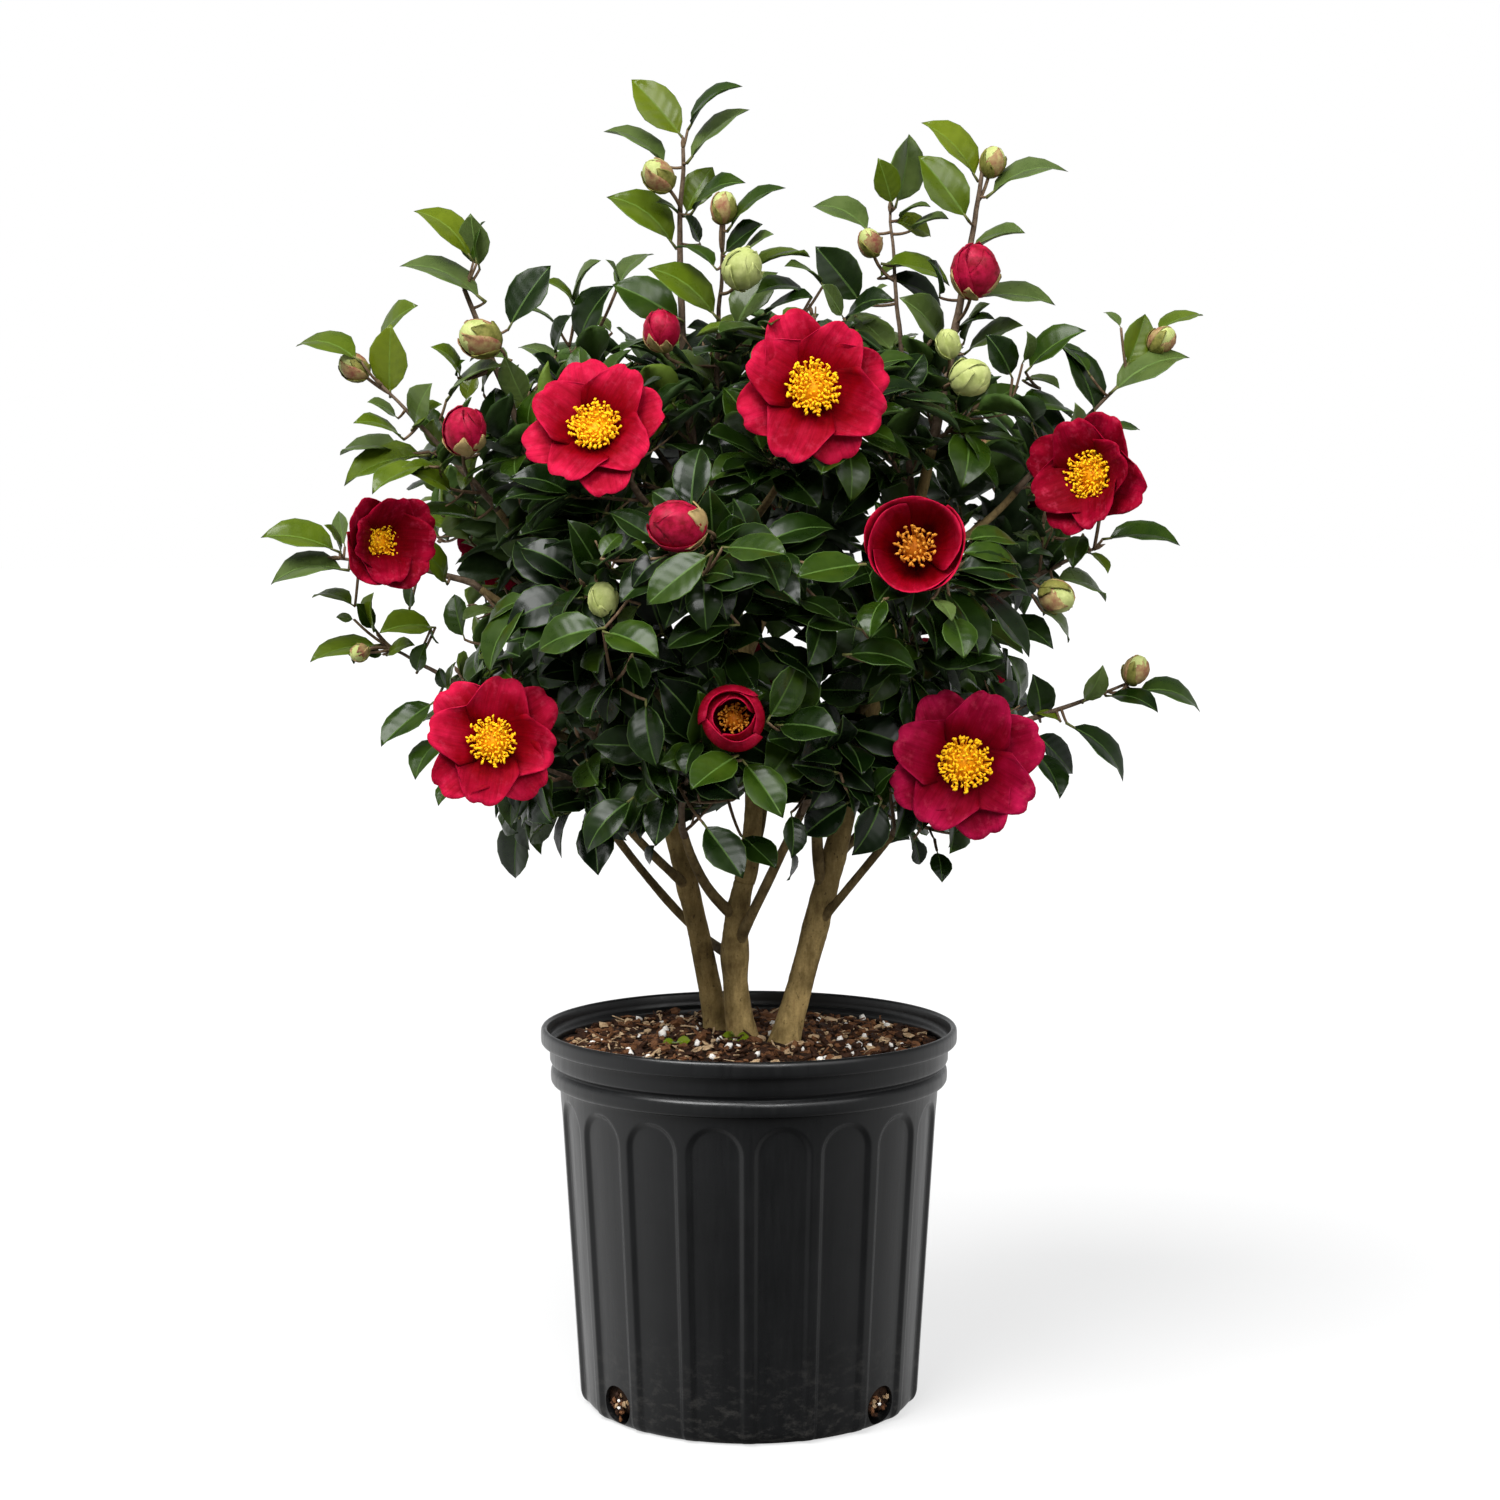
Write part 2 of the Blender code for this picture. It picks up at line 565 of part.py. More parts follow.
def twig_mesh(start, end, thick, thin):
    """A three-sided twig."""
    bm = bmesh.new()
    length = (end - start).length
    bmesh.ops.create_cone(
        bm, cap_ends=True, segments=3, radius1=thick, radius2=thin, depth=length
    )
    turn = (end - start).to_track_quat("Z", "Y").to_matrix().to_4x4()
    bm.transform(Matrix.Translation((start + end) / 2) @ turn)
    return mesh_from(bm, "twig")


def leaf_mesh(root, direction, up, length, width, thickness):
    """A leaf that is folded along its midrib, keeled below, and pointed at its root and tip."""
    keel = 0.22 * length
    middle = 0.46 * length
    bm = bmesh.new()
    corners = (
        (0.0, 0.0, 0.0),
        (length, 0.0, 0.0),
        (middle, width / 2, 0.0),
        (middle, -width / 2, 0.0),
        (keel, 0.0, -thickness),
    )
    points = [bm.verts.new(corner) for corner in corners]
    bmesh.ops.convex_hull(bm, input=points)
    for vert in points[2:4]:
        vert.co.z += LEAF_FOLD
    x = direction.normalized()
    z = (up - x * up.dot(x)).normalized()
    y = z.cross(x)
    frame = Matrix((x, y, z)).transposed().to_4x4()
    bm.transform(Matrix.Translation(root) @ frame)
    return mesh_from(bm, "leaf")


def leaf_pose(place, twig_direction, turn, rng):
    """(direction, upper side) of a leaf: it leaves its twig at a slant, hangs more the lower it is,
    and turns its upper side up and out to the light."""
    outward = (place - CROWN_MIDDLE).normalized()
    slant = math.radians(rng.uniform(42, 62))
    direction = twig_direction * math.cos(slant) + across(twig_direction, turn) * math.sin(slant)
    droop = max(-0.12, min(0.75, (0.64 - place.z) * 3.0))
    direction += outward * 0.30 - Vector((0, 0, droop))
    upper = Vector((0, 0, 0.55)) + outward * 0.75 + twig_direction * 0.2
    wobble = Vector((rng.uniform(-1, 1), rng.uniform(-1, 1), rng.uniform(-1, 1)))
    return direction.normalized(), upper + wobble * 0.25


def petal_cup(width, depth, petals, boss_share):
    """A bloom that is open: a lobed cup facing +Z from the origin, with its boss of stamens."""
    foot_share = 0.16
    hollow_depth = 0.58 * depth
    boss_height = 0.16 * width
    boss_taper = 0.8
    notch = 0.09
    radius = width / 2
    bm = bmesh.new()
    bmesh.ops.create_cone(
        bm,
        cap_ends=True,
        segments=2 * petals,
        radius1=radius * foot_share,
        radius2=radius,
        depth=depth,
        matrix=Matrix.Translation((0, 0, depth / 2)),
    )
    for vert in bm.verts:
        if vert.co.z > depth / 2:
            lobe = math.cos(math.atan2(vert.co.y, vert.co.x) * petals)
            vert.co.xy *= 1 - notch * (1 - lobe) / 2
    mouth = max(bm.faces, key=lambda face: face.calc_center_median().z)
    bmesh.ops.inset_region(bm, faces=[mouth], thickness=radius * (1 - boss_share))
    bmesh.ops.translate(bm, verts=mouth.verts, vec=(0, 0, -hollow_depth))
    bmesh.ops.inset_region(bm, faces=[mouth], thickness=radius * 0.02)
    bmesh.ops.translate(bm, verts=mouth.verts, vec=(0, 0, boss_height))
    bmesh.ops.scale(bm, verts=mouth.verts, vec=(boss_taper, boss_taper, 1))
    return bm


def bud_egg(width, stretch):
    """A closed bud: an egg that stands on the origin, pointing to +Z."""
    bm = bmesh.new()
    bmesh.ops.create_icosphere(bm, subdivisions=1, radius=width / 2)
    bmesh.ops.translate(bm, verts=bm.verts, vec=(0, 0, width * 0.45))
    bmesh.ops.scale(bm, verts=bm.verts, vec=(1, 1, stretch))
    return bm


def bloom_mesh(bloom):
    """(mesh, foot, facing) of a bloom whose middle is at its place."""
    if bloom.kind == "open":
        bm = petal_cup(bloom.width, bloom.width * 0.30, 7, 0.34)
        foot_depth = bloom.width * 0.18
    elif bloom.kind == "cup":
        bm = petal_cup(bloom.width, bloom.width * 0.62, 5, 0.40)
        foot_depth = bloom.width * 0.40
    else:
        bm = bud_egg(bloom.width, 1.3)
        foot_depth = bloom.width * 0.5
    facing = Vector(bloom.facing).normalized()
    foot = Vector(bloom.place) - facing * foot_depth
    turn = facing.to_track_quat("Z", "Y").to_matrix().to_4x4()
    bm.transform(Matrix.Translation(foot) @ turn)
    return mesh_from(bm, "bloom"), foot, facing


def nearest_on(path, point):
    """The point on a path that is nearest to another."""
    lines = list(zip(path, path[1:]))
    a, b = min(lines, key=lambda line: distance_to(point, *line))
    return a.lerp(b, share_along(point, a, b))


def side_twigs(mass, path):
    """(start, end) of the side twigs that leave a mass's stem by turns of the golden angle."""
    rng = random.Random(mass.name)
    length = sum((b - a).length for a, b in zip(path, path[1:]))
    count = max(4, round(length / TWIG_SPACING))
    first_turn = rng.uniform(0, 2 * math.pi)
    found = []
    for index in range(count):
        share = 0.12 + 0.80 * index / (count - 1)
        place = share * (len(path) - 1)
        step = int(place)
        start = path[step].lerp(path[step + 1], place - step)
        along = (path[step + 1] - path[step]).normalized()
        side = across(along, first_turn + index * GOLDEN_ANGLE)
        direction = along * math.cos(TWIG_ANGLE) + side * math.sin(TWIG_ANGLE)
        direction = (direction + Vector((0, 0, TWIG_LIFT))).normalized()
        reach = (mass.reach - TIP_LEAF_REACH) * (1 - 0.30 * share) * rng.uniform(0.80, 1.0)
        found.append((start, start + direction * reach))
    return found


def leaf_nodes(start, end, first, rng):
    """(place, direction, turn) for each leaf along a twig, with a last pair at its tip."""
    length = (end - start).length
    direction = (end - start).normalized()
    turn = rng.uniform(0, 2 * math.pi)
    found = []
    distance = first * length
    while distance < length - 0.35 * LEAF_SPACING:
        found.append((start + direction * distance, direction, turn))
        turn += GOLDEN_ANGLE
        distance += LEAF_SPACING
    tip = end - direction * 0.0025
    found += [(tip, direction, turn), (tip, direction, turn + math.pi)]
    return found


def hides_a_bloom(points):
    """Whether a leaf stands in the way of someone looking straight at an open bloom."""
    clear_depth = 0.16
    for bloom in BLOOMS:
        if bloom.kind not in ("open", "cup"):
            continue
        facing = Vector(bloom.facing).normalized()
        for point in points:
            offset = point - Vector(bloom.place)
            ahead = offset.dot(facing)
            aside = (offset - facing * ahead).length
            if 0 < ahead < clear_depth and aside < bloom.width * 0.46:
                return True
    return False


def build_mass_stem(shrub, mass):
    """The stem of a mass, which the rest of it is fused to."""
    bearer = shrub.paths[mass.bearer]
    tip = Vector(mass.tip)
    if mass.height is None:
        start = bearer[-1]
        heading = (bearer[-1] - bearer[-2]).normalized()
        reach = (tip - start).length
        bend = (start.lerp(tip, 0.5) + start + heading * reach * 0.5) / 2
    else:
        start = point_at_height(bearer, mass.height)
        bend = start.lerp(tip, 0.5)
    path = path_on(shrub, mass, bend, tip, 3)
    radii = tapered(MASS_STEM_RADIUS, MASS_STEM_RADIUS * 0.7, len(path))
    stem = tube("foliage_" + mass.name, path, radii, 0, shrub.parts)
    cut(stem, shrub.cutter_of[mass.bearer])
    apply_modifiers(stem)
    shrub.paths[mass.name] = path
    shrub.spines[mass.name] = (path[0].lerp(tip, 0.12), tip)
    shrub.add_shape(stem.data, mass.name)


def add_blooms(shrub):
    for mass in MASSES:
        for bloom in BLOOMS:
            if bloom.mass != mass.name:
                continue
            mesh, foot, facing = bloom_mesh(bloom)
            start = nearest_on(shrub.paths[mass.name][1:], foot - facing * 0.02)
            end = foot + facing * bloom.width * 0.12
            stalk = twig_mesh(start, end, TWIG_RADIUS, TWIG_RADIUS * 0.8)
            shrub.add_piece(mass, mesh, "bloom")
            shrub.add_piece(mass, stalk, "stalk")


def add_twigs(shrub):
    """(mass, name, start, end, share of it that is bare) of each twig that leaves grow on."""
    twigs = []
    for mass in MASSES:
        path = shrub.paths[mass.name]
        for number, (start, end) in enumerate(side_twigs(mass, path)):
            mesh = twig_mesh(start, end, TWIG_RADIUS, TWIG_RADIUS * 0.7)
            outer = [start.lerp(end, share) for share in (0.35, 0.7, 1.0)]
            if keeps_to(mass, outer, shrub.spines) and shrub.is_clear(mesh, mass.name):
                name = f"{mass.name} twig {number}"
                shrub.add_piece(mass, mesh, name)
                twigs.append((mass, name, start, end, 0.30))
        twigs.append((mass, mass.name, path[-2], path[-1], 0.25))
    return twigs


def add_leaves(shrub, twigs):
    room = 0.0008
    for mass, name, start, end, bare in twigs:
        rng = random.Random(name)
        for place, along, turn in leaf_nodes(start, end, bare, rng):
            direction, upper = leaf_pose(place, along, turn, rng)
            size = rng.uniform(0.86, 1.10)
            length = LEAF_LENGTH * size
            width = LEAF_WIDTH * size
            leaf = leaf_mesh(place, direction, upper, length, width, LEAF_THICKNESS)
            roomy = leaf_mesh(
                place, direction, upper, length + room, width + 2 * room, LEAF_THICKNESS + room
            )
            points = [v.co.copy() for v in leaf.vertices][1:]
            if hides_a_bloom(points) or not keeps_to(mass, points, shrub.spines):
                continue
            if shrub.is_clear(roomy, name):
                shrub.add_piece(mass, leaf, name + " leaf")


def join_mass(shrub, mass, finish):
    """Joins a mass's twigs, leaves and blooms to its stem as one body."""
    stem = shrub.parts.objects["foliage_" + mass.name]
    tools = collection("pieces of " + mass.name)
    for number, mesh in enumerate(shrub.pieces[mass.name]):
        add_mesh(f"{mass.name}_piece_{number:03d}", mesh, tools)
    union = stem.modifiers.new("join", "BOOLEAN")
    union.operation = "UNION"
    union.operand_type = "COLLECTION"
    union.collection = tools
    union.solver = "MANIFOLD"
    apply_modifiers(stem)
    for obj in list(tools.objects):
        bpy.data.objects.remove(obj)
    bpy.data.collections.remove(tools)
    drop_scraps(stem.data)
    stem.data.materials.clear()
    stem.data.materials.append(finish)


def island_of(vert):
    """The vertices that edges join to one vertex, with that vertex."""
    found = {vert}
    waiting = [vert]
    while waiting:
        for edge in waiting.pop().link_edges:
            other = set(edge.verts) - found
            found |= other
            waiting += other
    return found


def drop_scraps(mesh):
    """Keeps the largest of a mesh's loose pieces, in triangles."""
    bm = bmesh.new()
    bm.from_mesh(mesh)
    left = set(bm.verts)
    islands = []
    while left:
        islands.append(island_of(next(iter(left))))
        left -= islands[-1]
    largest = max(islands, key=len)
    scraps = [vert for vert in bm.verts if vert not in largest]
    bmesh.ops.delete(bm, geom=scraps, context="VERTS")
    bmesh.ops.triangulate(bm, faces=bm.faces)
    bm.to_mesh(mesh)
    bm.free()


def main():
    clear_scene()
    parts = collection("Camellia shrub")
    cutters = collection("Cutters")
    finishes = {name: material(name) for name in COLOURS}
    build_pot(parts, cutters, finishes["pot"])
    build_soil(parts, finishes["soil"])
    shrub = Shrub(parts, cutters)
    for stem in STEMS:
        build_stem(shrub, stem, finishes["bark"])
    for bough in BOUGHS:
        build_bough(shrub, bough, finishes["bark"])
    for mass in MASSES:
        build_mass_stem(shrub, mass)
    add_blooms(shrub)
    add_leaves(shrub, add_twigs(shrub))
    for mass in MASSES:
        join_mass(shrub, mass, finishes["leaf"])


main()
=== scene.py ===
"""A camellia in a black nursery pot: three stems, their boughs, twigs, leaves, buds and blooms.

Everything is in metres, +Z up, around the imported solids. The pot stands on the floor with the
middle of its underside at the origin, and -Y is the shrub's front.
"""

import math
import random
from collections import namedtuple

import bmesh
import bpy
import numpy as np
from mathutils import Matrix, Vector, noise
from mathutils.bvhtree import BVHTree


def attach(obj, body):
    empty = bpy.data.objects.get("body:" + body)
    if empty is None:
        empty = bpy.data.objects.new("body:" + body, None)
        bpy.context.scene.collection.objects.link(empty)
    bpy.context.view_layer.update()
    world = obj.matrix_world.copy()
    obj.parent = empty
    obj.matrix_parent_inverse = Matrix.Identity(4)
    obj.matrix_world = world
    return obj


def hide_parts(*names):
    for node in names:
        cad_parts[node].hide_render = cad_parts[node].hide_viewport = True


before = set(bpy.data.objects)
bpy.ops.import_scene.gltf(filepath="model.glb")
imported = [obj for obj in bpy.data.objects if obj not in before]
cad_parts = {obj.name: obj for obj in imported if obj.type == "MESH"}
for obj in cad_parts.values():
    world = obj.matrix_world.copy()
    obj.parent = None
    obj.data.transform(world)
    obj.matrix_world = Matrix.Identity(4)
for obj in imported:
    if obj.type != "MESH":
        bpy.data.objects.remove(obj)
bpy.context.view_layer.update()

# ---------------------------------------------------------------- pot
# A thin nursery pot, blow-moulded in black polyethylene: a rolled lip, a collar and a bead above
# a tapering wall with eighteen arched flutes that run out at the foot. Four of the flutes have a
# round drain hole at the bottom corner.

FLUTES = 18
FLUTE_WIDTH = 0.0376
FLUTE_DEPTH = 0.0024
FLUTE_TOP = 0.2105
WALL_TOP, WALL_TOP_RADIUS = 0.217, 0.1275
WALL_FOOT, WALL_FOOT_RADIUS = 0.010, 0.1150
FOOT_RADIUS = 0.1055
FLOOR = 0.004
DRAIN_RADIUS = 0.013
DRAIN_HEIGHT = 0.015
DRAIN_FLUTES = (2, 6, 11, 15)


def wall_radius(z):
    """Outer radius of the tapering wall at a height."""
    taper = (WALL_TOP_RADIUS - WALL_FOOT_RADIUS) / (WALL_TOP - WALL_FOOT)
    return WALL_FOOT_RADIUS + (z - WALL_FOOT) * taper


def flute_turn(index):
    """The turn about the pot's axis that brings a flute to its place."""
    return Matrix.Rotation((index + 0.5) * 2 * math.pi / FLUTES, 4, "Z")


def grid(bm, columns, rows):
    """A flat grid, as (vertex, share across, share up), with its UV map filled in."""
    made = bmesh.ops.create_grid(bm, x_segments=columns, y_segments=rows, size=1, calc_uvs=True)
    return [(vert, (vert.co.x + 1) / 2, (vert.co.y + 1) / 2) for vert in made["verts"]]


def flute_plate(bm):
    """One eighteenth of the wall: its rows run from the edge of the plate over the shoulder into
    the flute, and its columns run up one side, round the arch and down the other."""
    half = math.pi * WALL_TOP_RADIUS / FLUTES
    springing = FLUTE_TOP - FLUTE_WIDTH / 2
    side_rows, arch_steps = 8, 16
    # Half width of the flute at each row, and how deep it is pressed in there.
    shoulder = (
        (0.0206, 0.0), (0.0195, 0.00002), (0.0189, 0.00018), (0.0184, 0.00052), (0.0176, 0.00112),
        (0.0168, 0.00172), (0.0162, 0.00212), (0.0156, 0.00234), (0.0147, FLUTE_DEPTH),
        (0.0100, FLUTE_DEPTH), (0.0050, FLUTE_DEPTH), (0.0, FLUTE_DEPTH),
    )
    columns = 2 * side_rows + arch_steps
    for vert, across, up in grid(bm, columns, len(shoulder)):
        column, row = round(across * columns), round(up * len(shoulder))
        width, depth = shoulder[row - 1] if row else (half, 0.0)
        if side_rows <= column <= side_rows + arch_steps:
            angle = math.pi * (1 - (column - side_rows) / arch_steps)
            cosine, sine = math.cos(angle), math.sin(angle)
            reach = width if row else half / max(abs(cosine), abs(sine))
            x, z = reach * cosine, springing + reach * sine
        else:
            side = -1 if column < side_rows else 1
            steps_up = min(column, columns - column)
            x, z = side * width, WALL_FOOT + (springing - WALL_FOOT) * steps_up / side_rows
        turn = x / WALL_TOP_RADIUS
        radius = wall_radius(z) - depth
        vert.co = (radius * math.sin(turn), -radius * math.cos(turn), z)
    bm.transform(flute_turn(0))


def boundary_at(bm, height):
    """The open edges of a mesh that lie level at a height."""
    return [
        edge for edge in bm.edges
        if edge.is_boundary and all(abs(vert.co.z - height) < 1e-5 for vert in edge.verts)
    ]


def carry_on(bm, ring, radius, height):
    """Carries a ring of open edges on to a radius and height, and gives the new ring."""
    made = bmesh.ops.extrude_edge_only(bm, edges=ring)["geom"]
    for vert in made:
        if isinstance(vert, bmesh.types.BMVert):
            outward = vert.co.xy.normalized() * radius(vert.co.xy.length)
            vert.co = (outward.x, outward.y, height)
    return [edge for edge in made if isinstance(edge, bmesh.types.BMEdge) and edge.is_boundary]


# Radius and height round the bead, groove, collar and lip, then down inside to the floor.
RIM_LINE = (
    (0.1275, 0.2158), (0.1278, 0.2168), (0.1290, 0.2173), (0.1313, 0.2177), (0.1326, 0.2184),
    (0.1333, 0.2196), (0.1335, 0.2215), (0.1335, 0.2245), (0.1333, 0.2262), (0.1327, 0.2275),
    (0.1316, 0.2283), (0.1310, 0.2290), (0.1312, 0.2300), (0.1322, 0.2311), (0.1334, 0.2320),
    (0.1340, 0.2334), (0.1341, 0.2365), (0.1341, 0.2405), (0.1341, 0.2428), (0.1344, 0.2437),
    (0.1356, 0.2440), (0.1378, 0.2441), (0.1391, 0.2445), (0.1398, 0.2454), (0.1400, 0.2470),
    (0.1400, 0.2515), (0.1398, 0.2533), (0.1391, 0.2545), (0.1380, 0.2550), (0.1370, 0.2549),
    (0.1362, 0.2543), (0.1358, 0.2532), (0.1355, 0.2490), (0.1352, 0.2462), (0.1343, 0.2450),
    (0.1326, 0.2445), (0.1317, 0.2438), (0.1313, 0.2425), (0.1310, 0.2390), (0.1307, 0.2335),
    (0.1299, 0.2318), (0.1288, 0.2308), (0.1284, 0.2290), (0.1290, 0.2270), (0.1292, 0.2230),
    (0.1283, 0.2200), (0.1250, 0.2175), (0.1232, 0.2140), (0.1105, 0.0140), (0.1010, FLOOR),
)
# Height of each ring round the bottom corner, and how far it has turned in to the foot.
CORNER_LINE = (
    (0.0078, 0.03), (0.0056, 0.10), (0.0037, 0.22), (0.0020, 0.42), (0.0008, 0.68), (0.0, 1.0)
)

shell = bmesh.new()
flute_plate(shell)
bmesh.ops.spin(
    shell, geom=shell.verts[:] + shell.edges[:] + shell.faces[:], cent=(0, 0, 0), axis=(0, 0, 1),
    angle=2 * math.pi, steps=FLUTES, use_duplicate=True,
)
bmesh.ops.remove_doubles(shell, verts=shell.verts, dist=0.00005)
top_of_plates = max(vert.co.z for vert in shell.verts)
ring = boundary_at(shell, top_of_plates)
for rim_radius, rim_height in RIM_LINE:
    ring = carry_on(shell, ring, lambda old: rim_radius, rim_height)
bmesh.ops.edgeloop_fill(shell, edges=ring)
ring = boundary_at(shell, WALL_FOOT)
reached = 0.0
for corner_height, turned_in in CORNER_LINE:
    step = (turned_in - reached) / (1 - reached)
    ring = carry_on(shell, ring, lambda old: old + (FOOT_RADIUS - old) * step, corner_height)
    reached = turned_in
bmesh.ops.edgeloop_fill(shell, edges=ring)
bmesh.ops.recalc_face_normals(shell, faces=shell.faces)


def as_mesh(name, bm):
    """Turns a bmesh into a mesh."""
    mesh = bpy.data.meshes.new(name)
    bm.to_mesh(mesh)
    bm.free()
    return mesh


def placed_object(name, mesh, materials, smooth=True):
    """An object of a mesh and its materials, at the origin."""
    for material in materials:
        mesh.materials.append(material)
    if smooth:
        mesh.shade_smooth()
    obj = bpy.data.objects.new(name, mesh)
    bpy.context.scene.collection.objects.link(obj)
    return obj


def finished(name, bm, *materials, smooth=True):
    """Makes a bmesh an object of this name at the origin."""
    return placed_object(name, as_mesh(name, bm), materials, smooth)


def new_finish(name, roughness):
    """(material, its tree, its shader) for a new finish."""
    material = bpy.data.materials.new(name)
    material.use_nodes = True
    shader = material.node_tree.nodes["Principled BSDF"]
    shader.inputs["Roughness"].default_value = roughness
    return material, material.node_tree, shader


def set_socket(tree, socket, value):
    """Links a socket to an output, or sets it to a constant."""
    if isinstance(value, bpy.types.NodeSocket):
        tree.links.new(value, socket)
    else:
        socket.default_value = value


def add_node(tree, kind, sockets=None, **settings):
    """A new shader node, with some of its sockets linked or set."""
    made = tree.nodes.new("ShaderNode" + kind)
    for name, value in settings.items():
        setattr(made, name, value)
    for name, value in (sockets or {}).items():
        set_socket(tree, made.inputs[name], value)
    return made


def object_place(tree, scale=(1, 1, 1)):
    """Object coordinates, stretched by a scale on each axis."""
    place = add_node(tree, "TexCoord").outputs["Object"]
    return add_node(tree, "Mapping", {"Vector": place, "Scale": scale}).outputs["Vector"]


def noise_at(tree, vector, scale, detail=4.0, rough=0.55):
    """A noise pattern from about 0.3 to 0.7."""
    sockets = {"Vector": vector, "Scale": scale, "Detail": detail, "Roughness": rough}
    return add_node(tree, "TexNoise", sockets).outputs["Fac"]


def maths(tree, operation, *values):
    """A sum of sockets and constants."""
    return add_node(tree, "Math", dict(enumerate(values)), operation=operation).outputs[0]


def mixed(tree, share, below, above, blend_type="MIX"):
    """Lays one colour over another by a share."""
    made = add_node(tree, "Mix", data_type="RGBA", blend_type=blend_type)
    for socket, value in (("Factor", share), (6, below), (7, above)):
        set_socket(tree, made.inputs[socket], value)
    return made.outputs[2]


def apart(tree, vector):
    """The X, Y and Z of a vector."""
    return add_node(tree, "SeparateXYZ", {"Vector": vector}).outputs


def ramp(tree, share, *stops):
    """A colour ramp of (place, colour) stops."""
    made = add_node(tree, "ValToRGB", {"Fac": share})
    points = made.color_ramp.elements
    while len(points) < len(stops):
        points.new(1.0)
    for point, (place, colour) in zip(points, stops):
        point.position = place
        point.color = (*colour, 1.0)
    return made.outputs["Color"]


def spread(tree, share, low, high, to_low, to_high):
    """Maps a share from one range to another."""
    sockets = {"Value": share, "From Min": low, "From Max": high, "To Min": to_low, "To Max": to_high}
    return add_node(tree, "MapRange", sockets).outputs["Result"]


def bump(tree, shader, *heights):
    """Adds bumps to a shader, each a (height, strength, distance) on top of the last."""
    normal = None
    for height, strength, distance in heights:
        sockets = {"Height": height, "Strength": strength, "Distance": distance}
        if normal is not None:
            sockets["Normal"] = normal
        normal = add_node(tree, "Bump", sockets).outputs["Normal"]
    tree.links.new(normal, shader.inputs["Normal"])


pot_plastic, tree, shader = new_finish("pot_plastic", 0.36)
shader.inputs["Specular IOR Level"].default_value = 0.46
brushing = noise_at(tree, object_place(tree, (260, 260, 9)), 1.0, 5.0, 0.7)
mottle = noise_at(tree, object_place(tree), 22.0, 6.0, 0.65)
grain = noise_at(tree, object_place(tree), 900.0, 2.0)
height = apart(tree, add_node(tree, "TexCoord").outputs["Object"])["Z"]
low_down = spread(tree, height, 0.0, 0.075, 1.0, 0.0)
scuffs = noise_at(tree, object_place(tree, (90, 90, 160)), 1.0, 7.0, 0.75)
dust = maths(tree, "MULTIPLY", spread(tree, scuffs, 0.50, 0.72, 0.0, 1.0), low_down)
plain = ramp(tree, mottle, (0.30, (0.0028, 0.0030, 0.0033)), (0.72, (0.0054, 0.0057, 0.0062)))
dusty = mixed(tree, spread(tree, dust, 0.0, 1.0, 0.0, 0.5), plain, (0.070, 0.066, 0.060, 1))
tree.links.new(dusty, shader.inputs["Base Color"])
tree.links.new(spread(tree, brushing, 0.3, 0.7, 0.26, 0.40), shader.inputs["Roughness"])
bump(tree, shader, (brushing, 0.10, 0.0006), (grain, 0.06, 0.0002))

pot = finished("pot_shell", shell, pot_plastic)
drains = bmesh.new()
for index in DRAIN_FLUTES:
    middle = Matrix.Translation((0, -wall_radius(DRAIN_HEIGHT), DRAIN_HEIGHT))
    bmesh.ops.create_cone(
        drains, cap_ends=True, segments=40, radius1=DRAIN_RADIUS, radius2=DRAIN_RADIUS, depth=0.05,
        matrix=flute_turn(index) @ middle @ Matrix.Rotation(math.pi / 2, 4, "X"),
    )
punch = finished("drain_punch", drains)
drilled = pot.modifiers.new("drain holes", "BOOLEAN")
drilled.operation = "DIFFERENCE"
drilled.object = punch
graph = bpy.context.evaluated_depsgraph_get()
pot.data = bpy.data.meshes.new_from_object(pot.evaluated_get(graph))
pot.modifiers.clear()
bpy.data.objects.remove(punch)
pot.data.set_sharp_from_angle(angle=math.radians(38))
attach(pot, "root")
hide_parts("pot")

# ---------------------------------------------------------------- potting mix
# Composted bark, coir and perlite, filled to just under the collar. The bed is one lumpy body that
# shows at the drain holes too, and the bark chips, fibres and white perlite grains lie on it.

SOIL_CROWN, SOIL_FLAT_RADIUS = 0.2455, 0.062
SOIL_EDGE, SOIL_EDGE_RADIUS = 0.2405, 0.1292
BED_CLEARANCE = 0.0053
BED_RINGS = 27


def soil_height(x, y):
    """Height of the bed's lumpy top."""
    share = (math.hypot(x, y) - SOIL_FLAT_RADIUS) / (SOIL_EDGE_RADIUS - SOIL_FLAT_RADIUS)
    share = max(0.0, min(1.0, share))
    lumps = 0.0026 * noise.noise(Vector((x, y, 0)) * 62) + 0.0013 * noise.noise(Vector((x, y, 3)) * 200)
    return SOIL_CROWN + (SOIL_EDGE - SOIL_CROWN) * share + lumps


bed = bmesh.new()
bmesh.ops.create_circle(bed, cap_ends=True, segments=144, radius=SOIL_EDGE_RADIUS)
bmesh.ops.translate(bed, verts=bed.verts, vec=(0, 0, SOIL_EDGE))
top = bed.faces[:]
ring = bed.edges[:]
for bed_radius, bed_height in (
    (0.1275, 0.2330), (0.1262, 0.2240), (0.1222, 0.2160), (0.1190, 0.1700), (0.1162, 0.1200),
    (0.1135, 0.0750), (0.1118, 0.0480), (0.1112, 0.0390), (0.1107, 0.0310), (0.1102, 0.0240),
    (0.1098, 0.0185), (0.1094, 0.0140), (0.1070, 0.0105), (0.1040, 0.0075), (0.1003, 0.0046),
):
    ring = carry_on(bed, ring, lambda old: bed_radius, bed_height)
bmesh.ops.edgeloop_fill(bed, edges=ring)
for step in range(BED_RINGS - 1):
    bmesh.ops.inset_region(bed, faces=top, thickness=SOIL_EDGE_RADIUS / BED_RINGS, use_even_offset=False)
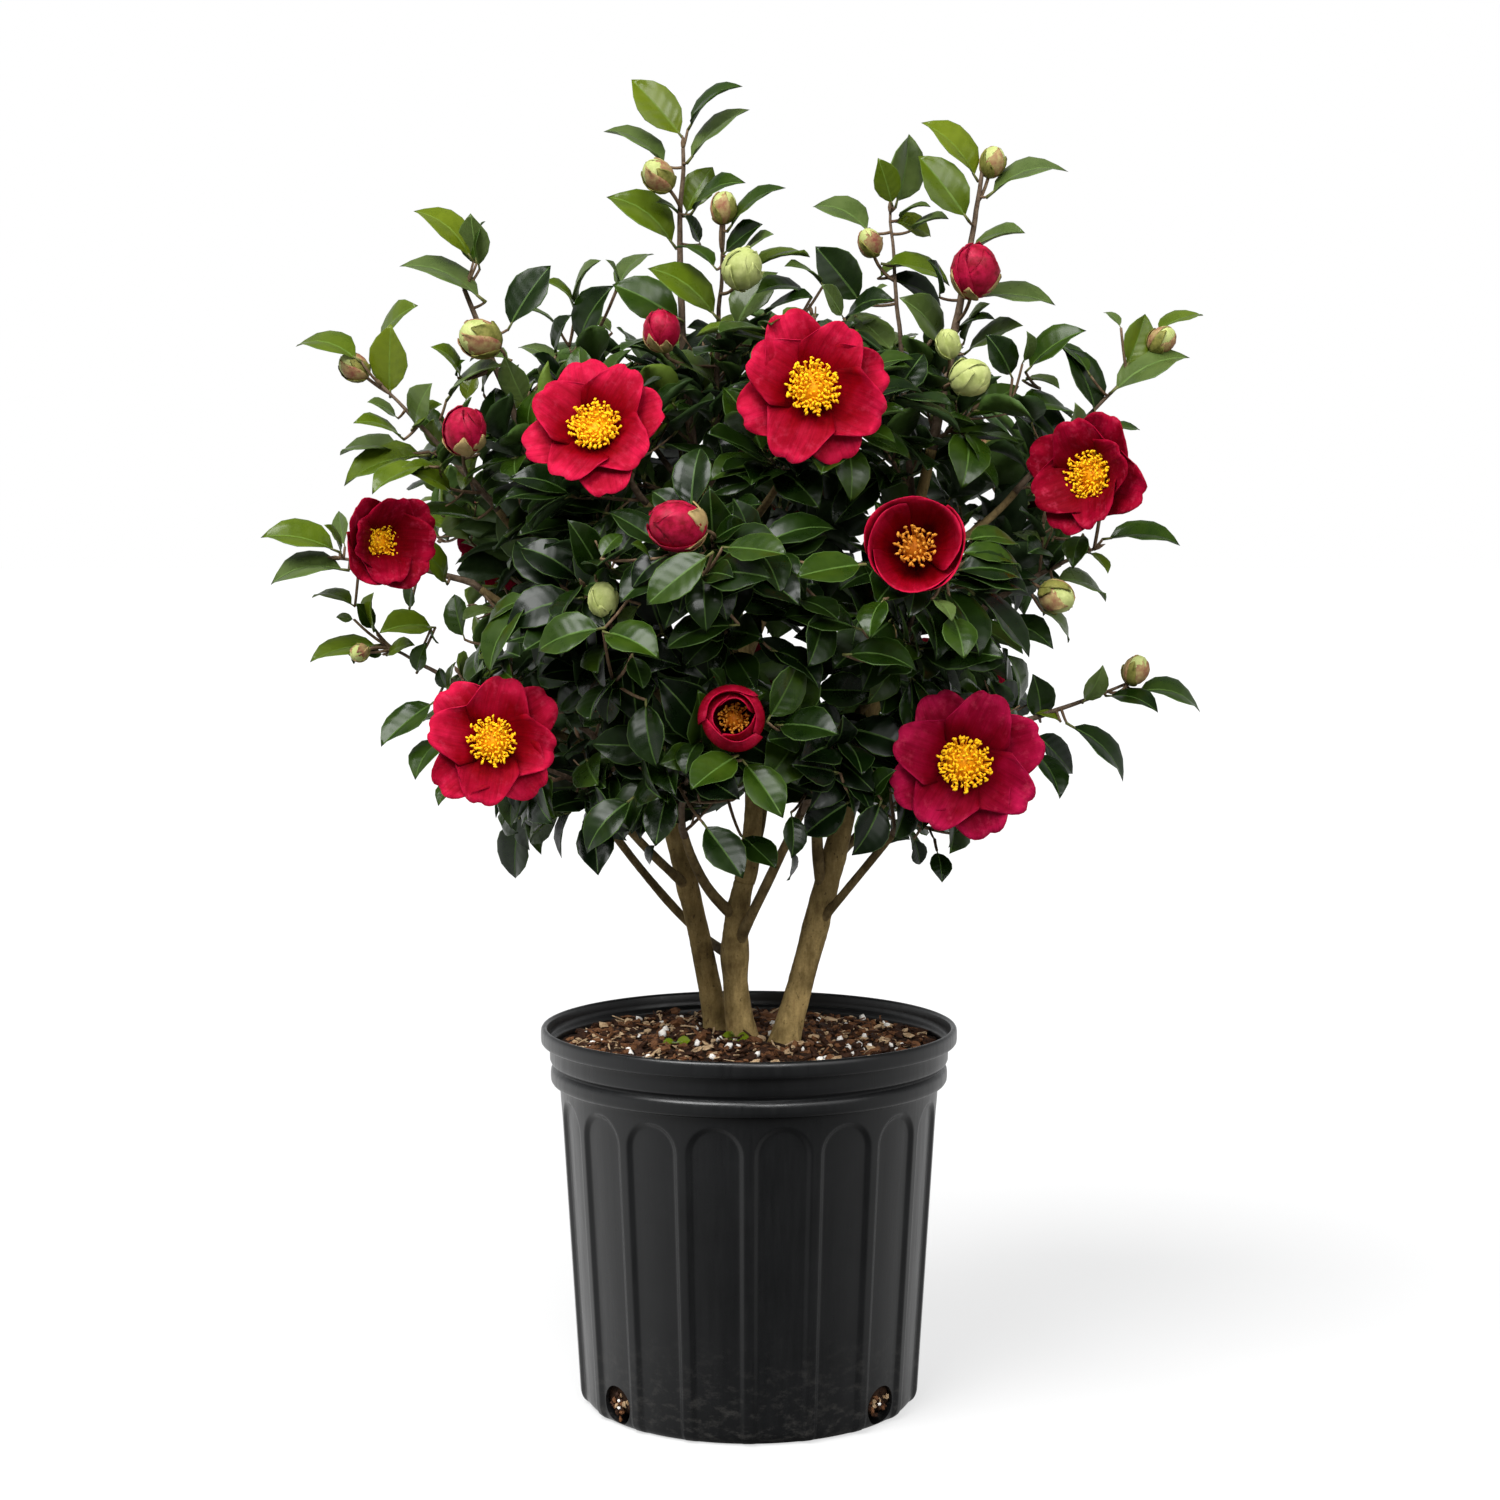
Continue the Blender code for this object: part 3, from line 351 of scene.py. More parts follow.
bmesh.ops.recalc_face_normals(bed, faces=bed.faces)
for vert in bed.verts:
    if vert.co.z > SOIL_EDGE - 1e-4:
        vert.co.z = soil_height(vert.co.x, vert.co.y)
    else:
        inward = 0.0014 * abs(noise.noise(vert.co * 150)) + 0.0010 * abs(noise.noise(vert.co * 400))
        vert.co.xy -= vert.co.xy.normalized() * inward


def mottled_finish(name, dark, light, roughness, scale, relief):
    """A rough finish of two near tones in soft patches, with a fine relief."""
    material, tree, shader = new_finish(name, roughness)
    shader.inputs["Specular IOR Level"].default_value = 0.15
    patches = noise_at(tree, object_place(tree), scale, 6.0, 0.65)
    fine = noise_at(tree, object_place(tree), scale * 6, 5.0, 0.7)
    colour = ramp(tree, patches, (0.34, dark), (0.66, light))
    tree.links.new(colour, shader.inputs["Base Color"])
    roughened = spread(tree, fine, 0.3, 0.7, roughness - 0.12, min(1.0, roughness + 0.1))
    tree.links.new(roughened, shader.inputs["Roughness"])
    bump(tree, shader, (patches, 0.5, relief), (fine, 0.4, relief / 4))
    return material


peat = mottled_finish("peat", (0.0075, 0.0032, 0.0016), (0.038, 0.017, 0.008), 0.85, 160, 0.0030)
soil_bed = finished("soil_bed", bed, peat)
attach(soil_bed, "root")
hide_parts("soil")


def stack_copies(name, templates, places, materials):
    """Joins many small copies as one object at the origin. A place is (template, matrix, slot
    that its first slot becomes)."""

    def values(items, name, kind=np.int64, each=1):
        found = np.empty(len(items) * each, kind)
        items.foreach_get(name, found)
        return found

    read = []
    for mesh in templates:
        uv = np.zeros(len(mesh.loops) * 2)
        if mesh.uv_layers:
            uv = values(mesh.uv_layers[0].uv, "vector", float, 2)
        read.append((
            values(mesh.vertices, "co", float, 3).reshape(-1, 3), values(mesh.loops, "vertex_index"),
            values(mesh.polygons, "loop_total"), values(mesh.polygons, "material_index"), uv,
        ))
    vertices, loops, sizes, slots, maps = [], [], [], [], []
    offset = 0
    for template, matrix, slot in places:
        points, corners, counts, of_slot, uv = read[template]
        turn = np.array(matrix.to_3x3())
        vertices.append(points @ turn.T + np.array(matrix.translation))
        loops.append(corners + offset)
        sizes.append(counts)
        slots.append(of_slot + slot)
        maps.append(uv)
        offset += len(points)
    mesh = bpy.data.meshes.new(name)
    vertices, loops, sizes = np.concatenate(vertices), np.concatenate(loops), np.concatenate(sizes)
    mesh.vertices.add(len(vertices))
    mesh.vertices.foreach_set("co", vertices.ravel())
    mesh.loops.add(len(loops))
    mesh.loops.foreach_set("vertex_index", loops)
    mesh.polygons.add(len(sizes))
    mesh.polygons.foreach_set("loop_start", np.cumsum(sizes) - sizes)
    mesh.polygons.foreach_set("material_index", np.concatenate(slots))
    mesh.uv_layers.new(name="own").uv.foreach_set("vector", np.concatenate(maps))
    mesh.update(calc_edges=True)
    mesh.validate()
    return placed_object(name, mesh, materials)


def lump_template(seed, jitter):
    """A small irregular lump about one unit across."""
    rng = random.Random(seed)
    bm = bmesh.new()
    bmesh.ops.create_icosphere(bm, subdivisions=1, radius=0.5)
    for vert in bm.verts:
        vert.co *= 1 + rng.uniform(-jitter, jitter)
    return as_mesh("lump", bm)


def sliver_template(seed):
    """A bent splinter of bark or fibre, one unit long."""
    rng = random.Random(seed)
    bm = bmesh.new()
    bmesh.ops.create_cone(
        bm, cap_ends=True, segments=5, radius1=0.5, radius2=0.32, depth=1,
        matrix=Matrix.Rotation(math.pi / 2, 4, "Y"),
    )
    sides = [edge for edge in bm.edges if abs(edge.verts[0].co.x - edge.verts[1].co.x) > 0.5]
    bmesh.ops.subdivide_edges(bm, edges=sides, cuts=2)
    for vert in bm.verts:
        vert.co.z += 0.35 * (0.25 - vert.co.x ** 2) + rng.uniform(-0.12, 0.12)
        vert.co.y += rng.uniform(-0.15, 0.15)
    return as_mesh("sliver", bm)


STEM_FEET = ((-0.0215, 0.038, 0.013), (-0.0035, 0.006, 0.015), (0.0225, -0.016, 0.015))


def free_place(rng, reach):
    """A place on the soil's top that no stem stands on."""
    while True:
        radius, turn = reach * math.sqrt(rng.random()), rng.uniform(0, 2 * math.pi)
        x, y = radius * math.cos(turn), radius * math.sin(turn)
        if all(math.hypot(x - foot_x, y - foot_y) > clear for foot_x, foot_y, clear in STEM_FEET):
            return x, y


def tumbled(rng, lean):
    """A turn any way round, and a lean of about so many radians."""
    return (
        Matrix.Rotation(rng.uniform(0, 2 * math.pi), 4, "Z")
        @ Matrix.Rotation(rng.gauss(0, lean), 4, "Y")
        @ Matrix.Rotation(rng.gauss(0, lean), 4, "X")
    )


def flake_template(seed):
    """A flat piece of bark about one unit long, with broken ends and uneven faces."""
    rng = random.Random(seed)
    bm = bmesh.new()
    bmesh.ops.create_cube(bm, size=1)
    bmesh.ops.subdivide_edges(bm, edges=bm.edges[:], cuts=1, use_grid_fill=True)
    for vert in bm.verts:
        on_side, on_end = abs(vert.co.x * vert.co.y) > 0.1, abs(vert.co.z * vert.co.x) > 0.1
        squareness = 1 - 0.16 * on_side - 0.10 * on_end
        vert.co = Vector(share * squareness + rng.uniform(-0.09, 0.09) for share in vert.co)
    return as_mesh("flake", bm)


rng = random.Random(41)
litter = [lump_template(seed, 0.30) for seed in range(5)] + [sliver_template(seed) for seed in range(4)]
litter += [flake_template(seed) for seed in range(5)]
lumps, slivers, flakes = range(0, 5), range(5, 9), range(9, 14)
FLAKE_COUNT, LUMP_COUNT, SLIVER_COUNT, GRAIN_COUNT = 620, 1250, 200, 64
chips = []
for number in range(FLAKE_COUNT):
    x, y = free_place(rng, 0.1225)
    length = rng.uniform(0.0045, 0.0100)
    shape = Matrix.Diagonal((length, length * rng.uniform(0.40, 0.70), length * rng.uniform(0.22, 0.38), 1))
    place = Matrix.Translation((x, y, soil_height(x, y) + length * rng.uniform(0.04, 0.20)))
    tone = rng.choices((0, 1, 2), (0.44, 0.40, 0.16))[0]
    chips.append((rng.choice(flakes), place @ tumbled(rng, 0.42) @ shape, tone))
for number in range(LUMP_COUNT):
    x, y = free_place(rng, 0.1262)
    length = rng.uniform(0.0030, 0.0068) * (1.7 if rng.random() < 0.10 else 1.0)
    shape = Matrix.Diagonal((length, length * rng.uniform(0.5, 0.8), length * rng.uniform(0.25, 0.5), 1))
    place = Matrix.Translation((x, y, soil_height(x, y) + length * rng.uniform(0.05, 0.28)))
    tone = rng.choices((0, 1, 2), (0.54, 0.34, 0.12))[0]
    chips.append((rng.choice(lumps), place @ tumbled(rng, 0.35) @ shape, tone))
for number in range(SLIVER_COUNT):
    x, y = free_place(rng, 0.1225)
    length = rng.uniform(0.006, 0.016)
    shape = Matrix.Diagonal((length, length * 0.13, length * 0.10, 1))
    place = Matrix.Translation((x, y, soil_height(x, y) + rng.uniform(0.0008, 0.0034)))
    tone = rng.choices((0, 1, 2), (0.35, 0.35, 0.30))[0]
    chips.append((rng.choice(slivers), place @ tumbled(rng, 0.30) @ shape, tone))
drain_middles = []
for index in DRAIN_FLUTES:
    middle = flute_turn(index) @ Vector((0, -wall_radius(DRAIN_HEIGHT) + BED_CLEARANCE, DRAIN_HEIGHT))
    drain_middles.append(middle)
    for number in range(34):
        away = Vector((rng.gauss(0, 0.0060), rng.uniform(-0.0006, 0.0016), rng.gauss(0, 0.0052)))
        if math.hypot(away.x, away.z) > DRAIN_RADIUS - 0.0025 or away.z + DRAIN_HEIGHT < 0.0045:
            continue
        place = flute_turn(index) @ Matrix.Translation(
            (away.x, away.y + BED_CLEARANCE - wall_radius(DRAIN_HEIGHT), away.z + DRAIN_HEIGHT)
        )
        length = rng.uniform(0.0030, 0.0060)
        shape = Matrix.Diagonal((length, length * 0.6, length * 0.7, 1))
        tone = rng.choices((0, 1, 2), (0.55, 0.30, 0.15))[0]
        chips.append((rng.choice(lumps), place @ tumbled(rng, 1.2) @ shape, tone))
bark_dark = mottled_finish("bark_chip_dark", (0.012, 0.0045, 0.0020), (0.050, 0.020, 0.009), 0.72, 300, 0.0010)
bark_brown = mottled_finish("bark_chip_brown", (0.065, 0.024, 0.010), (0.190, 0.085, 0.036), 0.78, 300, 0.0010)
bark_tan = mottled_finish("bark_chip_tan", (0.260, 0.160, 0.080), (0.560, 0.410, 0.250), 0.80, 300, 0.0010)
bark_chips = stack_copies("bark_chips", litter, chips, (bark_dark, bark_brown, bark_tan))
bark_chips.data.shade_flat()
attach(bark_chips, "root")

grains = []
for number in range(GRAIN_COUNT):
    x, y = free_place(rng, 0.1205)
    size = rng.uniform(0.0030, 0.0064)
    shape = Matrix.Diagonal((size, size * rng.uniform(0.75, 1.0), size * rng.uniform(0.65, 0.9), 1))
    place = Matrix.Translation((x, y, soil_height(x, y) + size * rng.uniform(0.25, 0.55)))
    grains.append((rng.choice(lumps), place @ tumbled(rng, 1.0) @ shape, 0))
for middle in drain_middles:
    for number in range(2):
        aside = Vector((0, 0, rng.uniform(-0.004, 0.008)))
        shape = Matrix.Diagonal((0.0028, 0.0026, 0.0024, 1))
        grains.append((number, Matrix.Translation(middle * 1.012 + aside) @ shape, 0))
perlite = mottled_finish("perlite", (0.66, 0.62, 0.56), (0.90, 0.88, 0.84), 0.85, 700, 0.0004)
perlite_grains = stack_copies("perlite_grains", litter, grains, (perlite,))
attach(perlite_grains, "root")

# ---------------------------------------------------------------- stems and boughs
# Three woody stems from one root, with tan-grey bark that is pocked with dark pores. They lean
# apart, swell at the foot and at each fork, and carry the boughs, which are browner and thinner.

Limb = namedtuple("Limb", "name bearer height bend tip thick thin")

# A stem's bearer holds the middle of its foot. A bough leaves its bearer at a height, or carries
# on from its tip where height is None.
STEMS = (
    Limb("stem_left", (-0.0215, 0.038), None, (-0.047, 0.024, 0.405), (-0.112, 0.0, 0.556), 0.0080, 0.0044),
    Limb("stem_middle", (-0.0035, 0.006), None, (-0.016, 0.001, 0.305), (-0.003, -0.001, 0.352), 0.0092, 0.0068),
    Limb("stem_right", (0.0225, -0.016), None, (0.064, 0.004, 0.385), (0.120, -0.020, 0.640), 0.0092, 0.0036),
)
BOUGHS = (
    Limb("leader_middle", "stem_middle", None, (0.020, 0.002, 0.450), (-0.036, 0.010, 0.640), 0.0068, 0.0036),
    Limb("low_left", "stem_middle", 0.300, (-0.046, 0.165, 0.292), (-0.105, 0.020, 0.400), 0.0036, 0.0026),
    Limb("low_front_left", "stem_left", 0.345, (-0.070, -0.020, 0.375), (-0.092, -0.052, 0.410), 0.0032, 0.0026),
    Limb("low_front", "stem_middle", 0.328, (-0.032, -0.014, 0.345), (-0.042, -0.048, 0.388), 0.0038, 0.0028),
    Limb("low_front_right", "stem_middle", 0.306, (0.008, -0.024, 0.345), (0.034, -0.045, 0.402), 0.0040, 0.0030),
    Limb("low_right", "stem_right", 0.322, (0.062, -0.024, 0.345), (0.094, -0.042, 0.388), 0.0031, 0.0026),
    Limb("far_right_low", "stem_right", 0.428, (0.110, 0.004, 0.435), (0.145, 0.004, 0.446), 0.0032, 0.0025),
    Limb("low_back_right", "stem_right", 0.368, (0.085, 0.045, 0.385), (0.108, 0.078, 0.420), 0.0034, 0.0026),
    Limb("low_back", "leader_middle", 0.362, (0.010, 0.045, 0.375), (0.012, 0.088, 0.418), 0.0034, 0.0026),
    Limb("low_back_left", "stem_left", 0.400, (-0.080, 0.050, 0.410), (-0.106, 0.078, 0.440), 0.0034, 0.0026),
    Limb("left_low", "stem_left", 0.432, (-0.105, 0.008, 0.438), (-0.152, 0.002, 0.462), 0.0032, 0.0025),
    Limb("far_left", "stem_left", 0.505, (-0.140, -0.005, 0.520), (-0.178, -0.008, 0.548), 0.0032, 0.0025),
    Limb("front_left", "leader_middle", 0.425, (-0.030, -0.040, 0.440), (-0.060, -0.082, 0.486), 0.0036, 0.0027),
    Limb("front_middle", "leader_middle", 0.462, (0.000, -0.050, 0.475), (-0.012, -0.095, 0.520), 0.0036, 0.0027),
    Limb("front_right", "stem_right", 0.345, (0.030, -0.034, 0.425), (0.088, -0.080, 0.492), 0.0040, 0.0027),
    Limb("right_middle", "stem_right", 0.492, (0.130, -0.004, 0.505), (0.155, -0.008, 0.534), 0.0032, 0.0025),
    Limb("back_right", "stem_right", 0.512, (0.125, 0.045, 0.525), (0.135, 0.080, 0.556), 0.0032, 0.0025),
    Limb("back_middle", "leader_middle", 0.500, (0.010, 0.050, 0.520), (0.018, 0.092, 0.556), 0.0034, 0.0026),
    Limb("back_left", "stem_left", 0.470, (-0.110, 0.045, 0.490), (-0.140, 0.082, 0.530), 0.0034, 0.0026),
    Limb("left_upper", "stem_left", 0.535, (-0.135, -0.005, 0.560), (-0.166, -0.008, 0.600), 0.0030, 0.0024),
    Limb("upper_front_left", "leader_middle", 0.548, (-0.035, -0.035, 0.570), (-0.066, -0.068, 0.604), 0.0032, 0.0025),
    Limb("upper_front_right", "leader_middle", 0.575, (0.005, -0.035, 0.590), (0.022, -0.070, 0.622), 0.0030, 0.0025),
    Limb("right_upper", "stem_right", 0.562, (0.150, -0.010, 0.580), (0.176, -0.008, 0.612), 0.0030, 0.0024),
)
SOIL_LINE = 0.246
STRAIGHT_START = 0.007


def bezier(foot, bend, tip, steps):
    """Points along the curve that leaves foot towards bend and arrives at tip."""
    a, b, c = Vector(foot), Vector(bend), Vector(tip)
    shares = [step / steps for step in range(steps + 1)]
    return [(1 - t) ** 2 * a + 2 * t * (1 - t) * b + t * t * c for t in shares]


def point_at_height(path, height):
    """Where a rising path passes a height."""
    for a, b in zip(path, path[1:]):
        if a.z <= height <= b.z:
            return a.lerp(b, (height - a.z) / (b.z - a.z))
    return path[-1]


def path_on(limb, bearer, bend, tip, steps):
    """The axis of a limb, which leaves its bearer's axis at a height or grows on from its tip."""
    if limb.height is not None:
        return bezier(point_at_height(bearer, limb.height), bend, tip, steps)
    heading = (bearer[-1] - bearer[-2]).normalized()
    path = bezier(bearer[-1], bend, tip, steps)
    path.insert(1, bearer[-1] + heading * STRAIGHT_START)
    return path


def evenly(path, spacing):
    """A path's points again, at even spacing along a smooth curve through them."""
    ends = [2 * path[0] - path[1], *path, 2 * path[-1] - path[-2]]
    dense = []
    for p, a, b, n in zip(ends, ends[1:], ends[2:], ends[3:]):
        for step in range(8):
            t = step / 8
            dense.append(
                0.5 * ((2 * a) + (b - p) * t + (2 * p - 5 * a + 4 * b - n) * t * t
                       + (3 * a - p - 3 * b + n) * t ** 3)
            )
    dense.append(path[-1])
    lengths = [0.0]
    for a, b in zip(dense, dense[1:]):
        lengths.append(lengths[-1] + (b - a).length)
    steps = max(2, round(lengths[-1] / spacing))
    found, at = [], 0
    for step in range(steps + 1):
        wanted = lengths[-1] * step / steps
        while at < len(dense) - 2 and lengths[at + 1] < wanted:
            at += 1
        span = lengths[at + 1] - lengths[at]
        found.append(dense[at].lerp(dense[at + 1], (wanted - lengths[at]) / span))
    return found


def skin_limb(path, radii, sides):
    """A closed tube along a path: a disc extruded from point to point, square to the path."""
    bm = bmesh.new()
    heading = (path[1] - path[0]).normalized()
    turn = heading.to_track_quat("Z", "Y")
    pose = Matrix.LocRotScale(path[0], turn, Vector((radii[0],) * 3))
    bmesh.ops.create_circle(bm, cap_ends=True, segments=sides, radius=1, matrix=pose)
    end = bm.faces[:]
    for number in range(1, len(path)):
        before, after = path[number - 1], path[min(number + 1, len(path) - 1)]
        new_heading = (after - before).normalized()
        turn = heading.rotation_difference(new_heading) @ turn
        heading = new_heading
        new_pose = Matrix.LocRotScale(path[number], turn, Vector((radii[number],) * 3))
        made = bmesh.ops.extrude_face_region(bm, geom=end)["geom"]
        if number > 1:
            bmesh.ops.delete(bm, geom=end, context="FACES_ONLY")
        end = [face for face in made if isinstance(face, bmesh.types.BMFace)]
        bmesh.ops.transform(bm, matrix=new_pose @ pose.inverted(), verts=end[0].verts[:])
        pose = new_pose
    bmesh.ops.recalc_face_normals(bm, faces=bm.faces)
    return bm


def joined(bm, part, slot=None):
    """Adds one bmesh to another, in a material slot, or in its own slots where none is given."""
    if slot is not None:
        for face in part.faces:
            face.material_index = slot
    mesh = as_mesh("part", part)
    bm.from_mesh(mesh)
    bpy.data.meshes.remove(mesh)


limb_paths = {}
for stem in STEMS:
    foot = Vector((*stem.bearer, SOIL_LINE - 0.004))
    limb_paths[stem.name] = bezier(foot, stem.bend, stem.tip, 24)
for bough in BOUGHS:
    limb_paths[bough.name] = path_on(bough, limb_paths[bough.bearer], bough.bend, bough.tip, 12)

bark = bmesh.new()
for limb in STEMS + BOUGHS:
    is_stem = limb in STEMS
    path = evenly(limb_paths[limb.name], 0.0026 if is_stem else 0.0034)
    children = [bough for bough in BOUGHS if bough.bearer == limb.name and bough.height]
    knots = [point_at_height(path, child.height) for child in children]
    radii = []
    for number, point in enumerate(path):
        share = number / (len(path) - 1)
        radius = limb.thick + (limb.thin - limb.thick) * share
        if is_stem:
            radius *= 1 + 0.20 * math.exp(-(point.z - SOIL_LINE) / 0.016)
        elif limb.height is not None:
            radius *= 1 + 0.55 * math.exp(-(point - path[0]).length / 0.009)
        for knot in knots:
            radius *= 1 + 0.13 * math.exp(-(((point - knot).length / 0.012) ** 2))
        radii.append(radius)
    skin = skin_limb(path, radii, 18 if is_stem else 12)
    skin.normal_update()
    for vert in skin.verts:
        long_swell = noise.noise(Vector((vert.co.x * 60, vert.co.y * 60, vert.co.z * 22)))
        pits = noise.noise(vert.co * 330)
        vert.co += vert.normal * (0.07 * long_swell + 0.035 * pits) * limb.thick
    joined(bark, skin, 0 if limb.thick > 0.006 else 1)


def bark_finish(name, dark, light, speck, speck_share):
    """Bark with long streaks, a fine grain and dark pores."""
    material, tree, shader = new_finish(name, 0.78)
    shader.inputs["Specular IOR Level"].default_value = 0.08
    streaks = noise_at(tree, object_place(tree, (190, 190, 62)), 1.0, 6.0, 0.65)
    grain = noise_at(tree, object_place(tree), 620.0, 5.0, 0.7)
    pores = noise_at(tree, object_place(tree, (1.0, 1.0, 0.7)), 360.0, 3.0, 0.6)
    blotches = noise_at(tree, object_place(tree), 42.0, 4.0)
    colour = ramp(tree, streaks, (0.30, dark), (0.70, light))
    stops = ((0.34, (0.46, 0.43, 0.36)), (0.50, (0.90, 0.88, 0.82)), (0.66, (1.22, 1.18, 1.12)))
    shades = ramp(tree, blotches, *stops)
    flecks = ramp(tree, grain, (0.34, (0.74, 0.72, 0.68)), (0.66, (1.14, 1.12, 1.08)))
    for tint, share in ((shades, 0.80), (flecks, 0.70)):
        colour = mixed(tree, share, colour, tint, "MULTIPLY")
    spots = spread(tree, pores, speck_share, speck_share + 0.07, 0.0, 0.75)
    tree.links.new(mixed(tree, spots, colour, (*speck, 1)), shader.inputs["Base Color"])
    tree.links.new(spread(tree, grain, 0.3, 0.7, 0.68, 0.9), shader.inputs["Roughness"])
    bump(tree, shader, (streaks, 0.40, 0.0010), (grain, 0.35, 0.0005), (pores, 0.30, 0.0005))
    return material


old_bark = bark_finish("old_bark", (0.190, 0.132, 0.054), (0.440, 0.325, 0.142), (0.060, 0.040, 0.018), 0.63)
young_bark = bark_finish("young_bark", (0.122, 0.086, 0.040), (0.285, 0.212, 0.102), (0.040, 0.027, 0.013), 0.63)
bark_limbs = finished("bark_limbs", bark, old_bark, young_bark)
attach(bark_limbs, "root")
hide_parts(*[stem.name for stem in STEMS], *[bough.name + "_bough" for bough in BOUGHS])

# ---------------------------------------------------------------- shoots and twigs
# Each mass of foliage hangs on one shoot that grows on from a limb. Side twigs leave it by turns
# of the golden angle, and each side twig bears finer ones. Last year's wood is pinkish brown.

Mass = namedtuple("Mass", "name bearer height tip reach")
MASSES = (
    Mass("low_left", "low_left", None, (-0.190, 0.000, 0.452), 0.098),
    Mass("low_front_left", "low_front_left", None, (-0.140, -0.118, 0.440), 0.092),
    Mass("low_front", "low_front", None, (-0.034, -0.150, 0.440), 0.090),
    Mass("low_front_right", "low_front_right", None, (0.052, -0.135, 0.455), 0.088),
    Mass("low_right", "low_right", None, (0.138, -0.105, 0.422), 0.092),
    Mass("far_right_low", "far_right_low", None, (0.252, 0.000, 0.484), 0.088),
    Mass("low_back_right", "low_back_right", None, (0.170, 0.142, 0.462), 0.100),
    Mass("low_back", "low_back", None, (0.016, 0.172, 0.455), 0.100),
    Mass("low_back_left", "low_back_left", None, (-0.168, 0.138, 0.474), 0.100),
    Mass("left_low", "left_low", None, (-0.238, 0.004, 0.508), 0.082),
    Mass("far_left", "far_left", None, (-0.270, -0.010, 0.568), 0.090),
    Mass("front_left", "front_left", None, (-0.100, -0.158, 0.552), 0.090),
    Mass("front_middle", "front_middle", None, (-0.022, -0.182, 0.580), 0.090),
    Mass("front_right", "front_right", None, (0.102, -0.148, 0.556), 0.092),
    Mass("right_middle", "right_middle", None, (0.226, -0.030, 0.574), 0.092),
    Mass("back_right", "back_right", None, (0.198, 0.146, 0.606), 0.100),
    Mass("back_middle", "back_middle", None, (0.022, 0.196, 0.602), 0.105),
    Mass("back_left", "back_left", None, (-0.214, 0.142, 0.590), 0.100),
    Mass("left_upper", "left_upper", None, (-0.242, -0.010, 0.682), 0.085),
    Mass("left_leader", "stem_left", None, (-0.188, 0.004, 0.746), 0.088),
    Mass("upper_front_left", "upper_front_left", None, (-0.100, -0.126, 0.668), 0.090),
    Mass("upper_front_right", "upper_front_right", None, (0.040, -0.128, 0.690), 0.090),
    Mass("right_upper", "right_upper", None, (0.250, -0.004, 0.688), 0.085),
    Mass("top_leader", "leader_middle", None, (-0.043, 0.002, 0.838), 0.080),
    Mass("top_front", "leader_middle", 0.605, (-0.016, -0.062, 0.782), 0.075),
    Mass("right_leader", "stem_right", None, (0.154, -0.004, 0.824), 0.082),
    Mass("top_right", "stem_right", 0.590, (0.094, 0.016, 0.798), 0.078),
    Mass("top_back_left", "leader_middle", 0.585, (-0.115, 0.118, 0.712), 0.095),
    Mass("top_back_right", "leader_middle", 0.615, (0.072, 0.128, 0.724), 0.095),
)
TWIG_SPACING = 0.021
TWIG_LIFT = 0.22
TWIG_ANGLE = math.radians(56)
GOLDEN_ANGLE = math.radians(137.5)
LEAF_REACH = 0.040
CROWN_MIDDLE = Vector((-0.01, 0.0, 0.54))
CROWN_FOOT = 0.366

STEP = 0.000671
STEPS_TO_AXIS = 749
STEPS_TO_EYE_LINE = 750
EYE_DISTANCE = 1.889
EYE = Vector((0.0007, -EYE_DISTANCE, 0.588))
EYE_TILT = math.radians(4.47)
# The close part of the crown as it is seen from the front, in steps of 0.671 mm on the plane
# through the pot's axis, counted from the left and down. What grows by rule keeps inside it.
CLOSE_PART = (
    (560, 335), (600, 318), (650, 322), (700, 318), (760, 305), (810, 306), (860, 318), (905, 318),
    (955, 345), (1000, 372), (1040, 390), (1062, 425), (1076, 500), (1075, 560), (1056, 600),
    (1048, 650), (1036, 700), (1045, 760), (1000, 820), (950, 858), (905, 852), (862, 822),
    (800, 802), (740, 802), (690, 820), (620, 850), (560, 850), (520, 858), (480, 810),
    (448, 760), (452, 690), (462, 650), (464, 600), (440, 560), (410, 530), (405, 490), (415, 440),
    (455, 400), (505, 372),
)


def seen_at(across_steps, down_steps, depth):
    """The point that is seen at a place from the front, at a depth in front of the pot's axis."""
    right = (across_steps - STEPS_TO_AXIS) * STEP / EYE_DISTANCE
    down = (down_steps - STEPS_TO_EYE_LINE) * STEP / EYE_DISTANCE
    level, sunk = math.cos(EYE_TILT), math.sin(EYE_TILT)
    ray = Vector((right, level - down * sunk, -sunk - down * level))
    return EYE + ray * ((-depth - EYE.y) / ray.y)


def seen_from_front(point):
    """(steps across, steps down) at which a point is seen from the front."""
    offset = point - EYE
    ahead = offset.y * math.cos(EYE_TILT) - offset.z * math.sin(EYE_TILT)
    down = -(offset.y * math.sin(EYE_TILT) + offset.z * math.cos(EYE_TILT)) / ahead
    return STEPS_TO_AXIS + offset.x / ahead * EYE_DISTANCE / STEP, STEPS_TO_EYE_LINE + down * EYE_DISTANCE / STEP


def in_close_part(point):
    """Whether a point is seen inside the close part of the crown: it counts the sides to its right."""
    across_steps, down_steps = seen_from_front(point)
    inside = False
    for (x0, y0), (x1, y1) in zip(CLOSE_PART, CLOSE_PART[1:] + CLOSE_PART[:1]):
        if (y0 > down_steps) != (y1 > down_steps):
            if across_steps < x0 + (down_steps - y0) / (y1 - y0) * (x1 - x0):
                inside = not inside
    return inside


def share_along(point, a, b):
    """How far along the line from a to b the nearest place to a point is, from 0 to 1."""
    along = b - a
    return max(0.0, min(1.0, (point - a).dot(along) / along.length_squared))


def distance_to(point, a, b):
    return (point - a.lerp(b, share_along(point, a, b))).length


